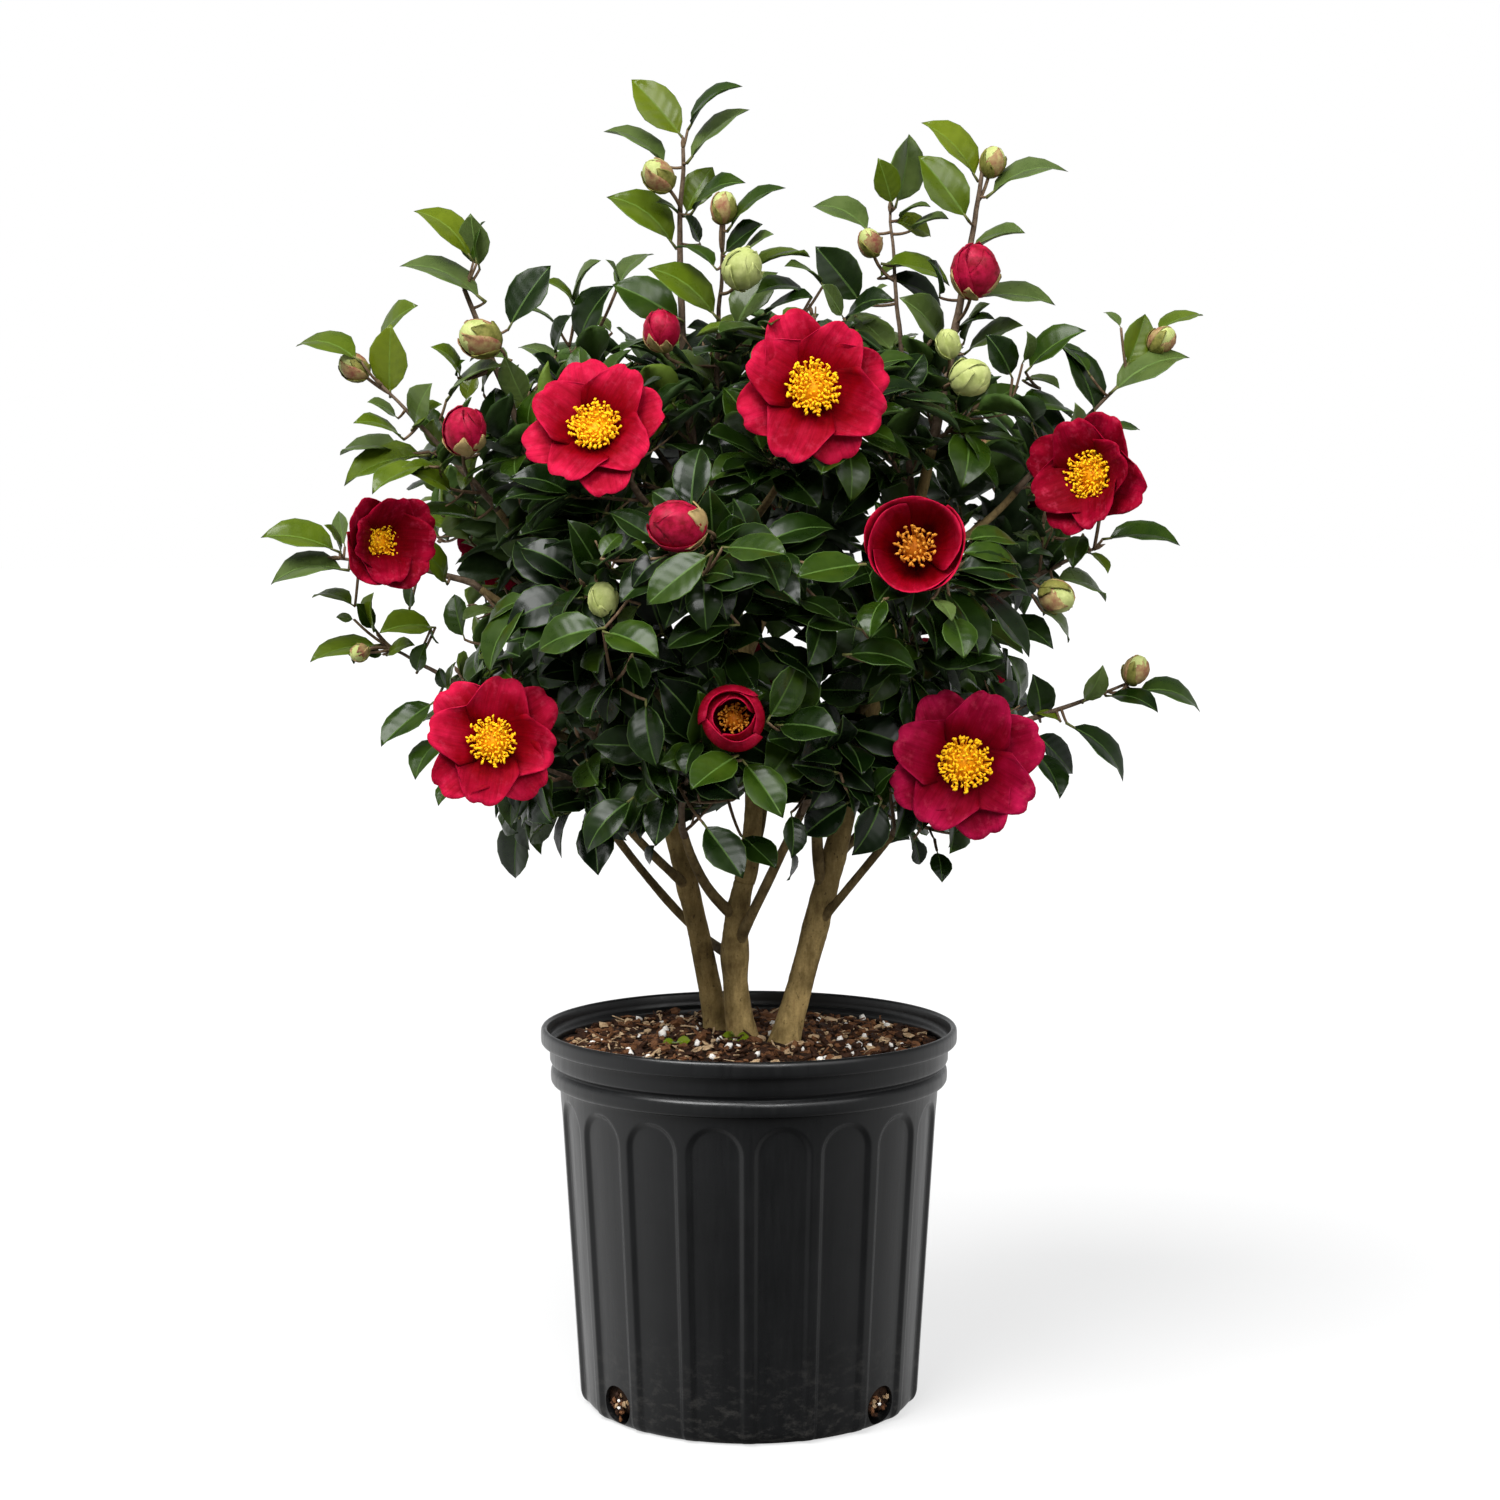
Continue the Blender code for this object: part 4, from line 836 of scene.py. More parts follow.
def nearest_on(path, point):
    """The point on a path that is nearest to another."""
    a, b = min(zip(path, path[1:]), key=lambda line: distance_to(point, *line))
    return a.lerp(b, share_along(point, a, b))


def keeps_to(mass, points, slack=0.0):
    """Whether points lie in a mass's own space: within its reach, nearer its shoot than any
    other, and above the crown's foot."""
    for point in points:
        own = distance_to(point, *spines[mass.name])
        if own > mass.reach + slack or point.z < CROWN_FOOT:
            return False
        if min(distance_to(point, *spine) for spine in spines.values()) < own - slack:
            return False
    return True


def across(direction, angle):
    """A unit vector square to a direction, turned by an angle about it."""
    level = direction.cross(Vector((0, 0, 1)))
    if level.length < 0.05:
        level = Vector((1, 0, 0))
    level.normalize()
    other = level.cross(direction).normalized()
    return level * math.cos(angle) + other * math.sin(angle)


def side_twigs(mass, path):
    """(start, end) of the side twigs that leave a mass's shoot by turns of the golden angle."""
    rng = random.Random(mass.name)
    length = sum((b - a).length for a, b in zip(path, path[1:]))
    count = max(4, round(length / TWIG_SPACING))
    first_turn = rng.uniform(0, 2 * math.pi)
    found = []
    for index in range(count):
        share = 0.12 + 0.80 * index / (count - 1)
        place = share * (len(path) - 1)
        step = int(place)
        start = path[step].lerp(path[step + 1], place - step)
        along = (path[step + 1] - path[step]).normalized()
        side = across(along, first_turn + index * GOLDEN_ANGLE)
        direction = along * math.cos(TWIG_ANGLE) + side * math.sin(TWIG_ANGLE)
        direction = (direction + Vector((0, 0, TWIG_LIFT))).normalized()
        reach = (mass.reach - LEAF_REACH) * (1 - 0.30 * share) * rng.uniform(0.80, 1.0)
        found.append((start, start + direction * reach))
    return found


def bowed(start, end, rise):
    """A twig's axis, which bows upwards a little."""
    bend = start.lerp(end, 0.5) + Vector((0, 0, -rise * (end - start).length))
    return bezier(start, bend, end, 5)


# Every bloom and bud: the mass it grows in, its kind, its middle, where it faces and its width.
# They are set first, because no twig grows through one.
Bloom = namedtuple("Bloom", "mass kind place facing width")
BLOOMS = (
    Bloom("upper_front_left", "open", (-0.094, -0.156, 0.650), (-0.12, -0.88, 0.42), 0.090),
    Bloom("upper_front_right", "open", (0.039, -0.170, 0.673), (0.05, -1.0, 0.10), 0.092),
    Bloom("right_middle", "open", (0.218, -0.072, 0.622), (-0.52, -0.85, 0.04), 0.090),
    Bloom("far_left", "open", (-0.236, -0.070, 0.580), (0.50, -0.86, -0.02), 0.086),
    Bloom("front_right", "cup", (0.100, -0.178, 0.578), (-0.06, -0.97, 0.18), 0.060),
    Bloom("low_front_left", "open", (-0.158, -0.152, 0.458), (0.05, -1.0, 0.10), 0.083),
    Bloom("low_front", "cup", (-0.009, -0.196, 0.475), (0.02, -0.98, 0.16), 0.045),
    Bloom("low_right", "open", (0.133, -0.148, 0.444), (0.02, -1.0, 0.04), 0.094),
    Bloom("left_upper", "red bud", (-0.181, -0.076, 0.650), (0.12, -0.40, 0.90), 0.028),
    Bloom("top_front", "red bud", (-0.056, -0.066, 0.714), (-0.05, -0.30, 0.95), 0.024),
    Bloom("front_middle", "red bud", (-0.042, -0.208, 0.590), (-0.92, -0.32, 0.16), 0.031),
    Bloom("right_leader", "red bud", (0.146, -0.040, 0.754), (0.10, -0.45, 0.90), 0.032),
    Bloom("left_leader", "bud", (-0.176, -0.026, 0.712), (-0.85, -0.30, 0.40), 0.027),
    Bloom("left_upper", "bud", (-0.260, -0.010, 0.694), (-0.70, -0.30, 0.60), 0.019),
    Bloom("top_leader", "bud", (-0.059, -0.012, 0.818), (-0.60, -0.35, 0.70), 0.021),
    Bloom("top_front", "bud", (-0.016, -0.062, 0.792), (0.15, -0.10, 0.98), 0.018),
    Bloom("top_front", "bud", (-0.004, -0.088, 0.752), (0.25, -0.75, 0.60), 0.027),
    Bloom("top_right", "bud", (0.080, 0.000, 0.776), (-0.30, -0.35, 0.88), 0.017),
    Bloom("right_leader", "bud", (0.160, -0.004, 0.828), (0.25, -0.10, 0.96), 0.018),
    Bloom("right_leader", "bud", (0.128, -0.058, 0.706), (-0.10, -0.35, 0.93), 0.017),
    Bloom("right_leader", "bud", (0.141, -0.082, 0.684), (0.88, -0.40, 0.25), 0.025),
    Bloom("right_upper", "bud", (0.272, -0.006, 0.712), (0.70, -0.30, 0.62), 0.018),
    Bloom("front_left", "bud", (-0.088, -0.182, 0.545), (0.02, -0.25, 0.97), 0.019),
    Bloom("right_middle", "bud", (0.200, -0.052, 0.544), (0.75, -0.45, -0.42), 0.023),
    Bloom("far_right_low", "bud", (0.257, -0.008, 0.494), (0.45, -0.15, 0.88), 0.018),
    Bloom("left_low", "bud", (-0.258, -0.014, 0.506), (-0.40, -0.80, -0.20), 0.013),
    Bloom("low_back_right", "open", (0.150, 0.172, 0.470), (0.45, 0.88, 0.12), 0.084),
    Bloom("low_back", "open", (0.004, 0.206, 0.462), (0.05, 0.99, 0.12), 0.088),
    Bloom("low_back_left", "cup", (-0.164, 0.180, 0.462), (-0.36, 0.92, 0.15), 0.056),
    Bloom("back_right", "cup", (0.214, 0.170, 0.616), (0.60, 0.78, 0.18), 0.058),
    Bloom("back_middle", "open", (0.030, 0.226, 0.612), (0.08, 0.98, 0.15), 0.090),
    Bloom("back_left", "open", (-0.178, 0.188, 0.578), (-0.45, 0.88, 0.14), 0.080),
    Bloom("top_back_left", "open", (-0.120, 0.160, 0.676), (-0.35, 0.82, 0.45), 0.078),
    Bloom("top_back_right", "red bud", (0.112, 0.172, 0.690), (0.25, 0.85, 0.45), 0.030),
    Bloom("low_left", "red bud", (-0.196, 0.014, 0.444), (-0.70, 0.10, 0.40), 0.027),
    Bloom("back_right", "bud", (0.172, 0.160, 0.648), (0.30, 0.50, 0.80), 0.020),
    Bloom("back_middle", "bud", (-0.030, 0.214, 0.640), (-0.30, 0.70, 0.65), 0.021),
    Bloom("top_back_right", "bud", (0.060, 0.150, 0.716), (0.10, 0.50, 0.85), 0.018),
)


def lies_in(bloom, points, share):
    """Whether any of these points is nearer a bloom's middle than a share of its width."""
    return any((point - Vector(bloom.place)).length < bloom.width * share for point in points)


def meets_a_bloom(points):
    """Whether any of these points lies in a bloom or bud."""
    return any(lies_in(bloom, points, 0.50) for bloom in BLOOMS)


def tip_bud(point, heading):
    """Adds the slim pointed bud that ends a twig."""
    if meets_a_bloom([point, point + heading * 0.0085]):
        return
    path = [point + heading * along for along in (-0.0010, 0.0012, 0.0036, 0.0062, 0.0085)]
    joined(wood, skin_limb(path, (0.0007, 0.0014, 0.0016, 0.0009, 0.0002), 6), 1)


shoots, spines = {}, {}
for mass in MASSES:
    bearer = limb_paths[mass.bearer]
    tip = Vector(mass.tip)
    if mass.height is None:
        start = bearer[-1]
        heading = (bearer[-1] - bearer[-2]).normalized()
        bend = (start.lerp(tip, 0.5) + start + heading * (tip - start).length * 0.5) / 2
    else:
        start = point_at_height(bearer, mass.height)
        bend = start.lerp(tip, 0.5)
    shoots[mass.name] = path_on(mass, bearer, bend, tip, 3)
    spines[mass.name] = (start.lerp(tip, 0.12), tip)

SHOOT_SEED = 3
noise.seed_set(SHOOT_SEED)
limbs_by_name = {limb.name: limb for limb in STEMS + BOUGHS}
wood = bmesh.new()
twigs = []  # (mass, axis, share of it that is bare), with no axis where a bloom stands in the way
for mass in MASSES:
    shoot = evenly(shoots[mass.name], 0.007)
    thick = limbs_by_name[mass.bearer].thin if mass.height is None else 0.0026
    radii = [max(0.00105, thick * (1 - 0.62 * step / (len(shoot) - 1))) for step in range(len(shoot))]
    shoot = [point + 0.0011 * noise.noise_vector(point * 55) for point in shoot]
    joined(wood, skin_limb(shoot, radii, 8), 0)
    twigs.append((mass, shoot[-5:], 0.10))
    tip_bud(shoot[-1], (shoot[-1] - shoot[-3]).normalized())
    rng = random.Random("finer " + mass.name)
    for start, end in side_twigs(mass, shoots[mass.name]):
        on_the_way = [start.lerp(end, share) for share in (0.35, 0.7, 1.0)]
        if not in_close_part(end) or not keeps_to(mass, on_the_way, 0.004):
            continue
        axis = bowed(nearest_on(shoot, start), end, 0.10)
        if meets_a_bloom(axis):
            twigs.append((mass, [], 0.22))
        else:
            joined(wood, skin_limb(axis, [0.00125 - 0.00009 * step for step in range(6)], 6), 1)
            twigs.append((mass, axis, 0.22))
            tip_bud(axis[-1], (axis[-1] - axis[-2]).normalized())
        along = (end - start).normalized()
        turn = rng.uniform(0, 2 * math.pi)
        for share in (0.18, 0.38, 0.58, 0.78):
            turn += GOLDEN_ANGLE
            root = nearest_on(axis, start.lerp(end, share))
            away = along * math.cos(TWIG_ANGLE) + across(along, turn) * math.sin(TWIG_ANGLE)
            away = (away + Vector((0, 0, TWIG_LIFT))).normalized()
            finer_end = root + away * rng.uniform(0.018, 0.034)
            if in_close_part(finer_end) and keeps_to(mass, [finer_end], 0.004):
                finer = bowed(root, finer_end, 0.08)
                if meets_a_bloom(axis + finer):
                    twigs.append((mass, [], 0.25))
                    continue
                joined(wood, skin_limb(finer, [0.00095 - 0.00007 * step for step in range(6)], 5), 1)
                twigs.append((mass, finer, 0.25))

# ---------------------------------------------------------------- blooms and buds
# Single red blooms of seven or eight petals that overlap and are notched at the tip, round a brush
# of yellow stamens. Some are still cups, and the stamens deep in a cup are darker orange and brown,
# a painted shade. The buds are closed in overlapping scales, and the oldest show the red petals
# wrapped inside.

PALE_BUDS = ((-0.004, -0.088, 0.752), (0.128, -0.058, 0.706), (0.141, -0.082, 0.684))
# How many degrees the petals of a bloom that is still opening stand up.
HALF_OPEN = {"far_left": 34, "right_middle": 22, "upper_front_left": 9}
# 1 is a bloom that has aged to magenta, 2 one that has just opened and is still dark.
PETAL_TONES = {
    "low_right": 1, "low_back": 1, "back_left": 1,
    "right_middle": 2, "far_left": 2, "top_back_left": 2,
}
FOOT_SHARES = {"open": 0.18, "cup": 0.40, "red bud": 0.5, "bud": 0.5}


def smooth_step(share):
    share = max(0.0, min(1.0, share))
    return share * share * (3 - 2 * share)


def petal(bm, size, turn, slopes, rng):
    """One petal, which starts beside the axis, climbs at the first slope and ends at the last.
    Its size is (length, width), and its round tip is a little notched and ruffled."""
    length, width = size
    rows = 12
    first, last = slopes
    line = [(0.0016, 0.0)]
    for row in range(rows):
        slope = first + (last - first) * smooth_step((row + 0.5) / rows * 1.15)
        line.append((
            line[-1][0] + math.cos(slope) * length / rows,
            line[-1][1] + math.sin(slope) * length / rows,
        ))
    ruffle, phase, skew = rng.uniform(0.0006, 0.0015), rng.uniform(0, 6), rng.uniform(-0.2, 0.2)
    lean, hollow = rng.uniform(0.07, 0.17), rng.uniform(0.16, 0.30)
    pose = Matrix.Rotation(turn, 4, "Z")
    for vert, s, t in grid(bm, 14, rows):
        aside = 2 * s - 1
        radius, height = line[round(t * rows)]
        slope = first + (last - first) * smooth_step(t * 1.15)
        half = width / 2 * (0.20 + 0.80 * math.sin(math.pi * min(1.0, t * 0.57 + 0.12)) ** 1.1)
        notch = 0.045 * math.exp(-(((aside - skew) / 0.15) ** 2)) + 0.38 * abs(aside) ** 3.3
        back = length * notch * smooth_step((t - 0.30) / 0.70)
        radius -= back * math.cos(slope)
        height -= back * math.sin(slope)
        lift = hollow * half * aside * aside * (1 - 0.45 * t) + lean * half * aside * (0.35 + 0.4 * t)
        lift += ruffle * (math.sin(4.6 * aside + phase) + 0.5 * math.sin(11 * aside + 2 * phase)) * t ** 3
        lift += 0.0013 * noise.noise(Vector((aside * 1.7 + phase, t * 2.6, turn)))
        vert.co = pose @ Vector((radius - lift * math.sin(slope), aside * half, height + lift * math.cos(slope)))


def cup_petal(bm, cup, turn, breadth, curl, rng):
    """One petal of a bloom that is still a cup. The cup is (radius, depth, closing), and the
    petal wraps round it by an angle each way, with one edge under its neighbour."""
    radius, depth, closing = cup
    bowl = 1.08 if closing < 0.1 else 1.45
    pose = Matrix.Rotation(turn, 4, "Z")
    phase = rng.uniform(0, 6)
    for vert, s, t in grid(bm, 16, 12):
        aside = 2 * s - 1
        up = t * (1 - 0.20 * abs(aside) ** 2.8) * (1 - 0.02 * math.sin(5 * aside + phase) * t)
        around = aside * breadth * (0.70 + 0.30 * math.sin(math.pi * min(1.0, 0.5 * t + 0.2)))
        out = radius * (0.12 + 0.88 * math.sin(math.pi / 2 * min(1.0, up * bowl)) ** 0.85)
        out *= 1 - closing * smooth_step((up - 0.45) / 0.55) + 0.05 * smooth_step((up - 0.88) / 0.12)
        out *= 1 + curl * aside + (0.014 + 0.030 * t * t) * math.sin(4 * aside + phase) * t
        vert.co = pose @ Vector((out * math.cos(around), out * math.sin(around), depth * up ** 1.15))


def solid_sheets(bm, thickness):
    """Gives thin sheets a thickness."""
    bmesh.ops.recalc_face_normals(bm, faces=bm.faces)
    bmesh.ops.solidify(bm, geom=bm.faces[:], thickness=thickness)
    bmesh.ops.recalc_face_normals(bm, faces=bm.faces)


def bloom_petals(bloom, rng):
    """All the petals of one bloom, round +Z from the origin."""
    bm = bmesh.new()
    bm.loops.layers.uv.new("own")
    width = bloom.width
    if bloom.kind == "open":
        cupped = math.radians(HALF_OPEN.get(bloom.mass, 0))
        whorls = (
            (4, 0.0, 0.535, 0.50, (math.radians(28) + cupped, math.radians(-4) + cupped)),
            (4, 0.48, 0.530, 0.46, (math.radians(42) + cupped, math.radians(2) + cupped)),
        )
        for count, offset, length, breadth, slopes in whorls:
            for number in range(count):
                turn = (number + offset) * 2 * math.pi / count + rng.uniform(-0.12, 0.12)
                size = (width * length * rng.uniform(0.93, 1.04), width * breadth * rng.uniform(0.92, 1.06))
                petal(bm, size, turn, (slopes[0], slopes[1] + rng.uniform(-0.12, 0.14)), rng)
    else:
        closing, nesting, depth, count = (0.02, 0.05, 0.54, 5) if width > 0.05 else (0.40, 0.10, 0.66, 6)
        for number in range(count):
            inner = number / (count - 1)
            cup = (width * (0.50 - nesting * inner), width * (depth + 0.02 * inner), closing * (0.8 + 0.4 * inner))
            cup_petal(bm, cup, number * math.radians(137.5), math.radians(74), 0.05, rng)
    solid_sheets(bm, 0.0004)
    return bm


def overlap_shell(bm, radius, stretch, turn, breadth, ends, lift, slot):
    """A scale or wrapped petal that lies on an egg, from one angle above its foot to another."""
    first, last = ends
    made = grid(bm, 6, 6)
    pose = Matrix.Rotation(turn, 4, "Z")
    for vert, s, t in made:
        aside = 2 * s - 1
        polar = first + (last - first) * (t - 0.10 * abs(aside) ** 2.5 * t)
        narrow = (1 - t ** 2.6) * 0.88 + 0.12
        azimuth = aside * breadth * narrow
        swell = radius * (1 + lift * (0.35 + 0.65 * t) + 0.05 * aside)
        vert.co = pose @ Vector((
            swell * math.sin(polar) * math.cos(azimuth),
            swell * math.sin(polar) * math.sin(azimuth),
            (radius * 0.9 - swell * math.cos(polar)) * stretch,
        ))
    for face in {face for vert, s, t in made for face in vert.link_faces}:
        face.material_index = slot


def bud_body(bloom, rng):
    """A bud round +Z from the origin: slot 0 is red petal, 1 pale scale, 2 green
    scale and 3 a scale with a pink blush."""
    bm = bmesh.new()
    bm.loops.layers.uv.new("own")
    radius = bloom.width / 2
    turn = rng.uniform(0, 6)
    if bloom.kind == "red bud":
        stretch = 1.16
        core = bmesh.ops.create_uvsphere(bm, u_segments=20, v_segments=14, radius=radius * 0.93)
        bmesh.ops.translate(bm, verts=core["verts"], vec=(0, 0, radius * 0.9))
        bmesh.ops.scale(bm, verts=core["verts"], vec=(1, 1, stretch))
        core_faces = set(bm.faces)
        for number in range(4):
            ends = (math.radians(8), math.radians(168 - 9 * (number % 2)))
            overlap_shell(bm, radius * 0.97, stretch, turn + number * 2.3, 1.25, ends, 0.05, 0)
        for number in range(5):
            ends = (math.radians(4), math.radians(rng.uniform(66, 98)))
            overlap_shell(bm, radius * 1.01, stretch, turn + number * 2.4 + 0.6, 0.80, ends, 0.06, 4)
    else:
        stretch = 1.22 if bloom.width < 0.0225 else 1.12
        pale = bloom.mass in ("front_left", "back_middle") or bloom.place in PALE_BUDS
        core = bmesh.ops.create_uvsphere(bm, u_segments=16, v_segments=10, radius=radius * 0.90)
        bmesh.ops.translate(bm, verts=core["verts"], vec=(0, 0, radius * 0.9))
        bmesh.ops.scale(bm, verts=core["verts"], vec=(1, 1, stretch))
        for face in bm.faces:
            face.material_index = 1
        core_faces = set(bm.faces)
        for number, reach in enumerate((172, 168, 160, 150, 132, 120, 96, 84, 60)):
            ends = (math.radians(6), math.radians(reach))
            slot = 1 if pale else 2 if number > 3 else 3
            shell_radius = radius * (0.92 + 0.012 * number)
            overlap_shell(bm, shell_radius, stretch, turn + number * GOLDEN_ANGLE, 1.02, ends, 0.03, slot)
    bmesh.ops.solidify(bm, geom=[face for face in bm.faces if face not in core_faces], thickness=0.0003)
    bmesh.ops.recalc_face_normals(bm, faces=bm.faces)
    return bm


def posed(bloom):
    """The pose that puts a bloom that is built round +Z where it grows."""
    facing = Vector(bloom.facing).normalized()
    foot = Vector(bloom.place) - facing * bloom.width * FOOT_SHARES[bloom.kind]
    return Matrix.Translation(foot) @ facing.to_track_quat("Z", "Y").to_matrix().to_4x4(), foot, facing


def filament_template(seed):
    """A stamen one unit high that bows outwards along +X, with its anther on top."""
    rng = random.Random(seed)
    path = []
    for t in (0, 0.35, 0.7, 1.0):
        out, aside = 0.10 * t * t + 0.02 * math.sin(7 * t + seed), 0.02 * math.sin(5 * t + seed)
        path.append(Vector((out, aside, t)))
    bm = skin_limb(path, (0.036, 0.031, 0.027, 0.024), 3)
    anther = bmesh.new()
    bmesh.ops.create_icosphere(anther, subdivisions=1, radius=0.070)
    bmesh.ops.scale(anther, verts=anther.verts, vec=(1.12, 0.52, 0.60))
    on_top = Matrix.Translation((0.105, 0, 1.01)) @ tumbled(rng, 0.7)
    bmesh.ops.transform(anther, verts=anther.verts, matrix=on_top)
    joined(bm, anther, 1)
    return as_mesh("stamen", bm)


# How many stamens a bloom has, how tall they are as a share of its width, and how many degrees
# the outermost lean.
STAMENS = {"open": (150, 0.205, 27), "cup": (54, 0.36, 17)}
STALK_RADIUS = 0.0012
petals, buds = bmesh.new(), bmesh.new()
stamens = [filament_template(seed) for seed in range(4)]
stamen_places, bundles = [], []
for number, bloom in enumerate(BLOOMS):
    rng = random.Random(900 + number)
    pose, foot, facing = posed(bloom)
    if bloom.kind in ("open", "cup"):
        part = bloom_petals(bloom, rng)
        bmesh.ops.transform(part, matrix=pose @ Matrix.Rotation(rng.uniform(0, 6), 4, "Z"), verts=part.verts)
        joined(petals, part, PETAL_TONES.get(bloom.mass, 0))
        count, height_share, lean_degrees = STAMENS[bloom.kind]
        tall = bloom.width * height_share
        spread_out = math.radians(lean_degrees)
        for filament in range(count):
            share = math.sqrt((filament + 0.5) / count)
            turn = filament * GOLDEN_ANGLE + rng.uniform(-0.15, 0.15)
            tilt = spread_out * share + rng.uniform(-0.05, 0.05)
            size = tall * (0.84 + 0.18 * share) * rng.uniform(0.90, 1.08)
            outwards = Matrix.Translation((bloom.width * 0.062 * share, 0, bloom.width * 0.035))
            stem_place = Matrix.Rotation(turn, 4, "Z") @ outwards
            stem_size = Matrix.Diagonal((size * 1.2, size * 1.2, size, 1))
            matrix = pose @ stem_place @ Matrix.Rotation(tilt, 4, "Y") @ stem_size
            # A cup's stamens take the darker orange and brown, a painted shade for their place deep in the cup.
            stamen_places.append((rng.randrange(4), matrix, 0 if bloom.kind == "open" else 2))
        bundle = bmesh.new()
        bmesh.ops.create_cone(
            bundle, cap_ends=True, segments=20, depth=tall * 0.74,
            radius1=bloom.width * 0.056, radius2=bloom.width * 0.056 + tall * 0.74 * math.tan(spread_out) * 0.86,
            matrix=pose @ Matrix.Translation((0, 0, bloom.width * 0.03 + tall * 0.37)),
        )
        # The filament tube of a cup is the darker orange too, a painted shade.
        bundles.append((bundle, 0 if bloom.kind == "open" else 1))
        collar = bmesh.new()
        collar.loops.layers.uv.new("own")
        for scale in range(6):
            ends = (math.radians(8), math.radians(74))
            overlap_shell(collar, bloom.width * 0.115, 0.85, scale * GOLDEN_ANGLE, 0.75, ends, 0.05, 1)
        bmesh.ops.translate(collar, verts=collar.verts, vec=(0, 0, -bloom.width * 0.055))
        solid_sheets(collar, 0.0005)
        collar.transform(pose)
        joined(buds, collar)
    else:
        part = bud_body(bloom, rng)
        part.transform(pose)
        joined(buds, part)
    start = nearest_on(shoots[bloom.mass][1:], foot - facing * 0.02)
    stalk = bezier(start, foot - facing * 0.012, foot + facing * bloom.width * 0.06, 6)
    stalk = evenly(stalk, 0.004)
    joined(wood, skin_limb(stalk, [STALK_RADIUS] * len(stalk), 6), 1)


def petal_finish(name, shaded_heart, middle, edge):
    """Velvety petal: darker at the heart, a painted shade where the petals overlap round the stamens,
    paler and pinker to the edge, partly its own tone and partly a painted sheen, with fine veins and
    a few bleached spots near its tip."""
    material, tree, shader = new_finish(name, 0.55)
    own = add_node(tree, "UVMap", uv_map="own").outputs["UV"]
    along = apart(tree, own)["Y"]
    cloud = noise_at(tree, object_place(tree), 62.0, 4.0)
    up = maths(tree, "ADD", along, spread(tree, cloud, 0.3, 0.7, -0.20, 0.20))
    stretched = add_node(tree, "Mapping", {"Vector": own, "Scale": (30, 2.0, 1)}).outputs["Vector"]
    veins = noise_at(tree, stretched, 1.0, 4.0, 0.6)
    outer = tuple(0.62 * m + 0.38 * e for m, e in zip(middle, edge))
    # The heart stop is painted shade, and the pinker outer stops are partly a painted sheen.
    colour = ramp(tree, up, (0.10, shaded_heart), (0.46, middle), (0.80, outer), (1.0, edge))
    vein_tint = ramp(tree, veins, (0.32, (0.66, 0.55, 0.58)), (0.62, (1.12, 1.15, 1.15)))
    veined = mixed(tree, 0.65, colour, vein_tint, "MULTIPLY")
    spots = spread(tree, noise_at(tree, object_place(tree), 200.0, 5.0, 0.65), 0.52, 0.70, 0.0, 0.34)
    near_tip = spread(tree, along, 0.50, 0.95, 0.0, 1.0)
    bleached = mixed(tree, maths(tree, "MULTIPLY", spots, near_tip), veined, (0.62, 0.050, 0.110, 1))
    tree.links.new(bleached, shader.inputs["Base Color"])
    tree.links.new(spread(tree, veins, 0.3, 0.7, 0.66, 0.50), shader.inputs["Roughness"])
    shader.inputs["Specular IOR Level"].default_value = 0.02
    bump(tree, shader, (veins, 0.22, 0.0006), (cloud, 0.25, 0.0020))
    return material


# For each finish: the heart, a painted shade, then the middle, then the edge, partly a painted sheen.
crimson = petal_finish("petal_crimson", (0.045, 0.0001, 0.0006), (0.180, 0.0001, 0.0034), (0.500, 0.0080, 0.0440))
magenta = petal_finish("petal_magenta", (0.045, 0.0001, 0.0010), (0.145, 0.0001, 0.0064), (0.390, 0.0062, 0.0500))
deep = petal_finish("petal_deep", (0.038, 0.0001, 0.0005), (0.120, 0.0001, 0.0026), (0.290, 0.0024, 0.0210))
blossom = finished("bloom_petals", petals, crimson, magenta, deep)
filament_yellow = mottled_finish("filament_yellow", (0.84, 0.340, 0.003), (0.96, 0.450, 0.006), 0.55, 300, 0.0003)
anther_gold = mottled_finish("anther_gold", (0.92, 0.46, 0.005), (1.00, 0.62, 0.012), 0.80, 900, 0.0004)
# The orange and brown finishes are darker copies of the yellow and gold, painted shade for the stamens inside the
# cups.
filament_orange = mottled_finish("filament_orange", (0.42, 0.110, 0.004), (0.62, 0.200, 0.008), 0.55, 300, 0.0003)
anther_brown = mottled_finish("anther_brown", (0.40, 0.140, 0.012), (0.78, 0.360, 0.040), 0.80, 900, 0.0004)
anthers = (filament_yellow, anther_gold, filament_orange, anther_brown)
brushes = stack_copies("bloom_stamens", stamens, stamen_places, anthers)
bud_red = mottled_finish("bud_red", (0.18, 0.0006, 0.008), (0.47, 0.007, 0.050), 0.48, 170, 0.0007)
scale_pale = mottled_finish("scale_pale", (0.330, 0.380, 0.110), (0.500, 0.540, 0.210), 0.55, 160, 0.0004)
scale_blush = mottled_finish("scale_blush", (0.230, 0.060, 0.045), (0.400, 0.330, 0.130), 0.55, 160, 0.0004)
scale_tan = mottled_finish("scale_tan", (0.280, 0.200, 0.075), (0.480, 0.340, 0.150), 0.60, 150, 0.0004)
scale_green = mottled_finish("scale_green", (0.120, 0.125, 0.022), (0.270, 0.250, 0.060), 0.60, 190, 0.0005)
flower_buds = finished("buds_and_scales", buds, bud_red, scale_pale, scale_green, scale_blush, scale_tan)
tubes = bmesh.new()
for bundle, slot in bundles:
    joined(tubes, bundle, slot)
filament_tubes = finished("filament_tubes", tubes, filament_yellow, filament_orange)
for piece in (blossom, brushes, flower_buds, filament_tubes):
    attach(piece, "root")

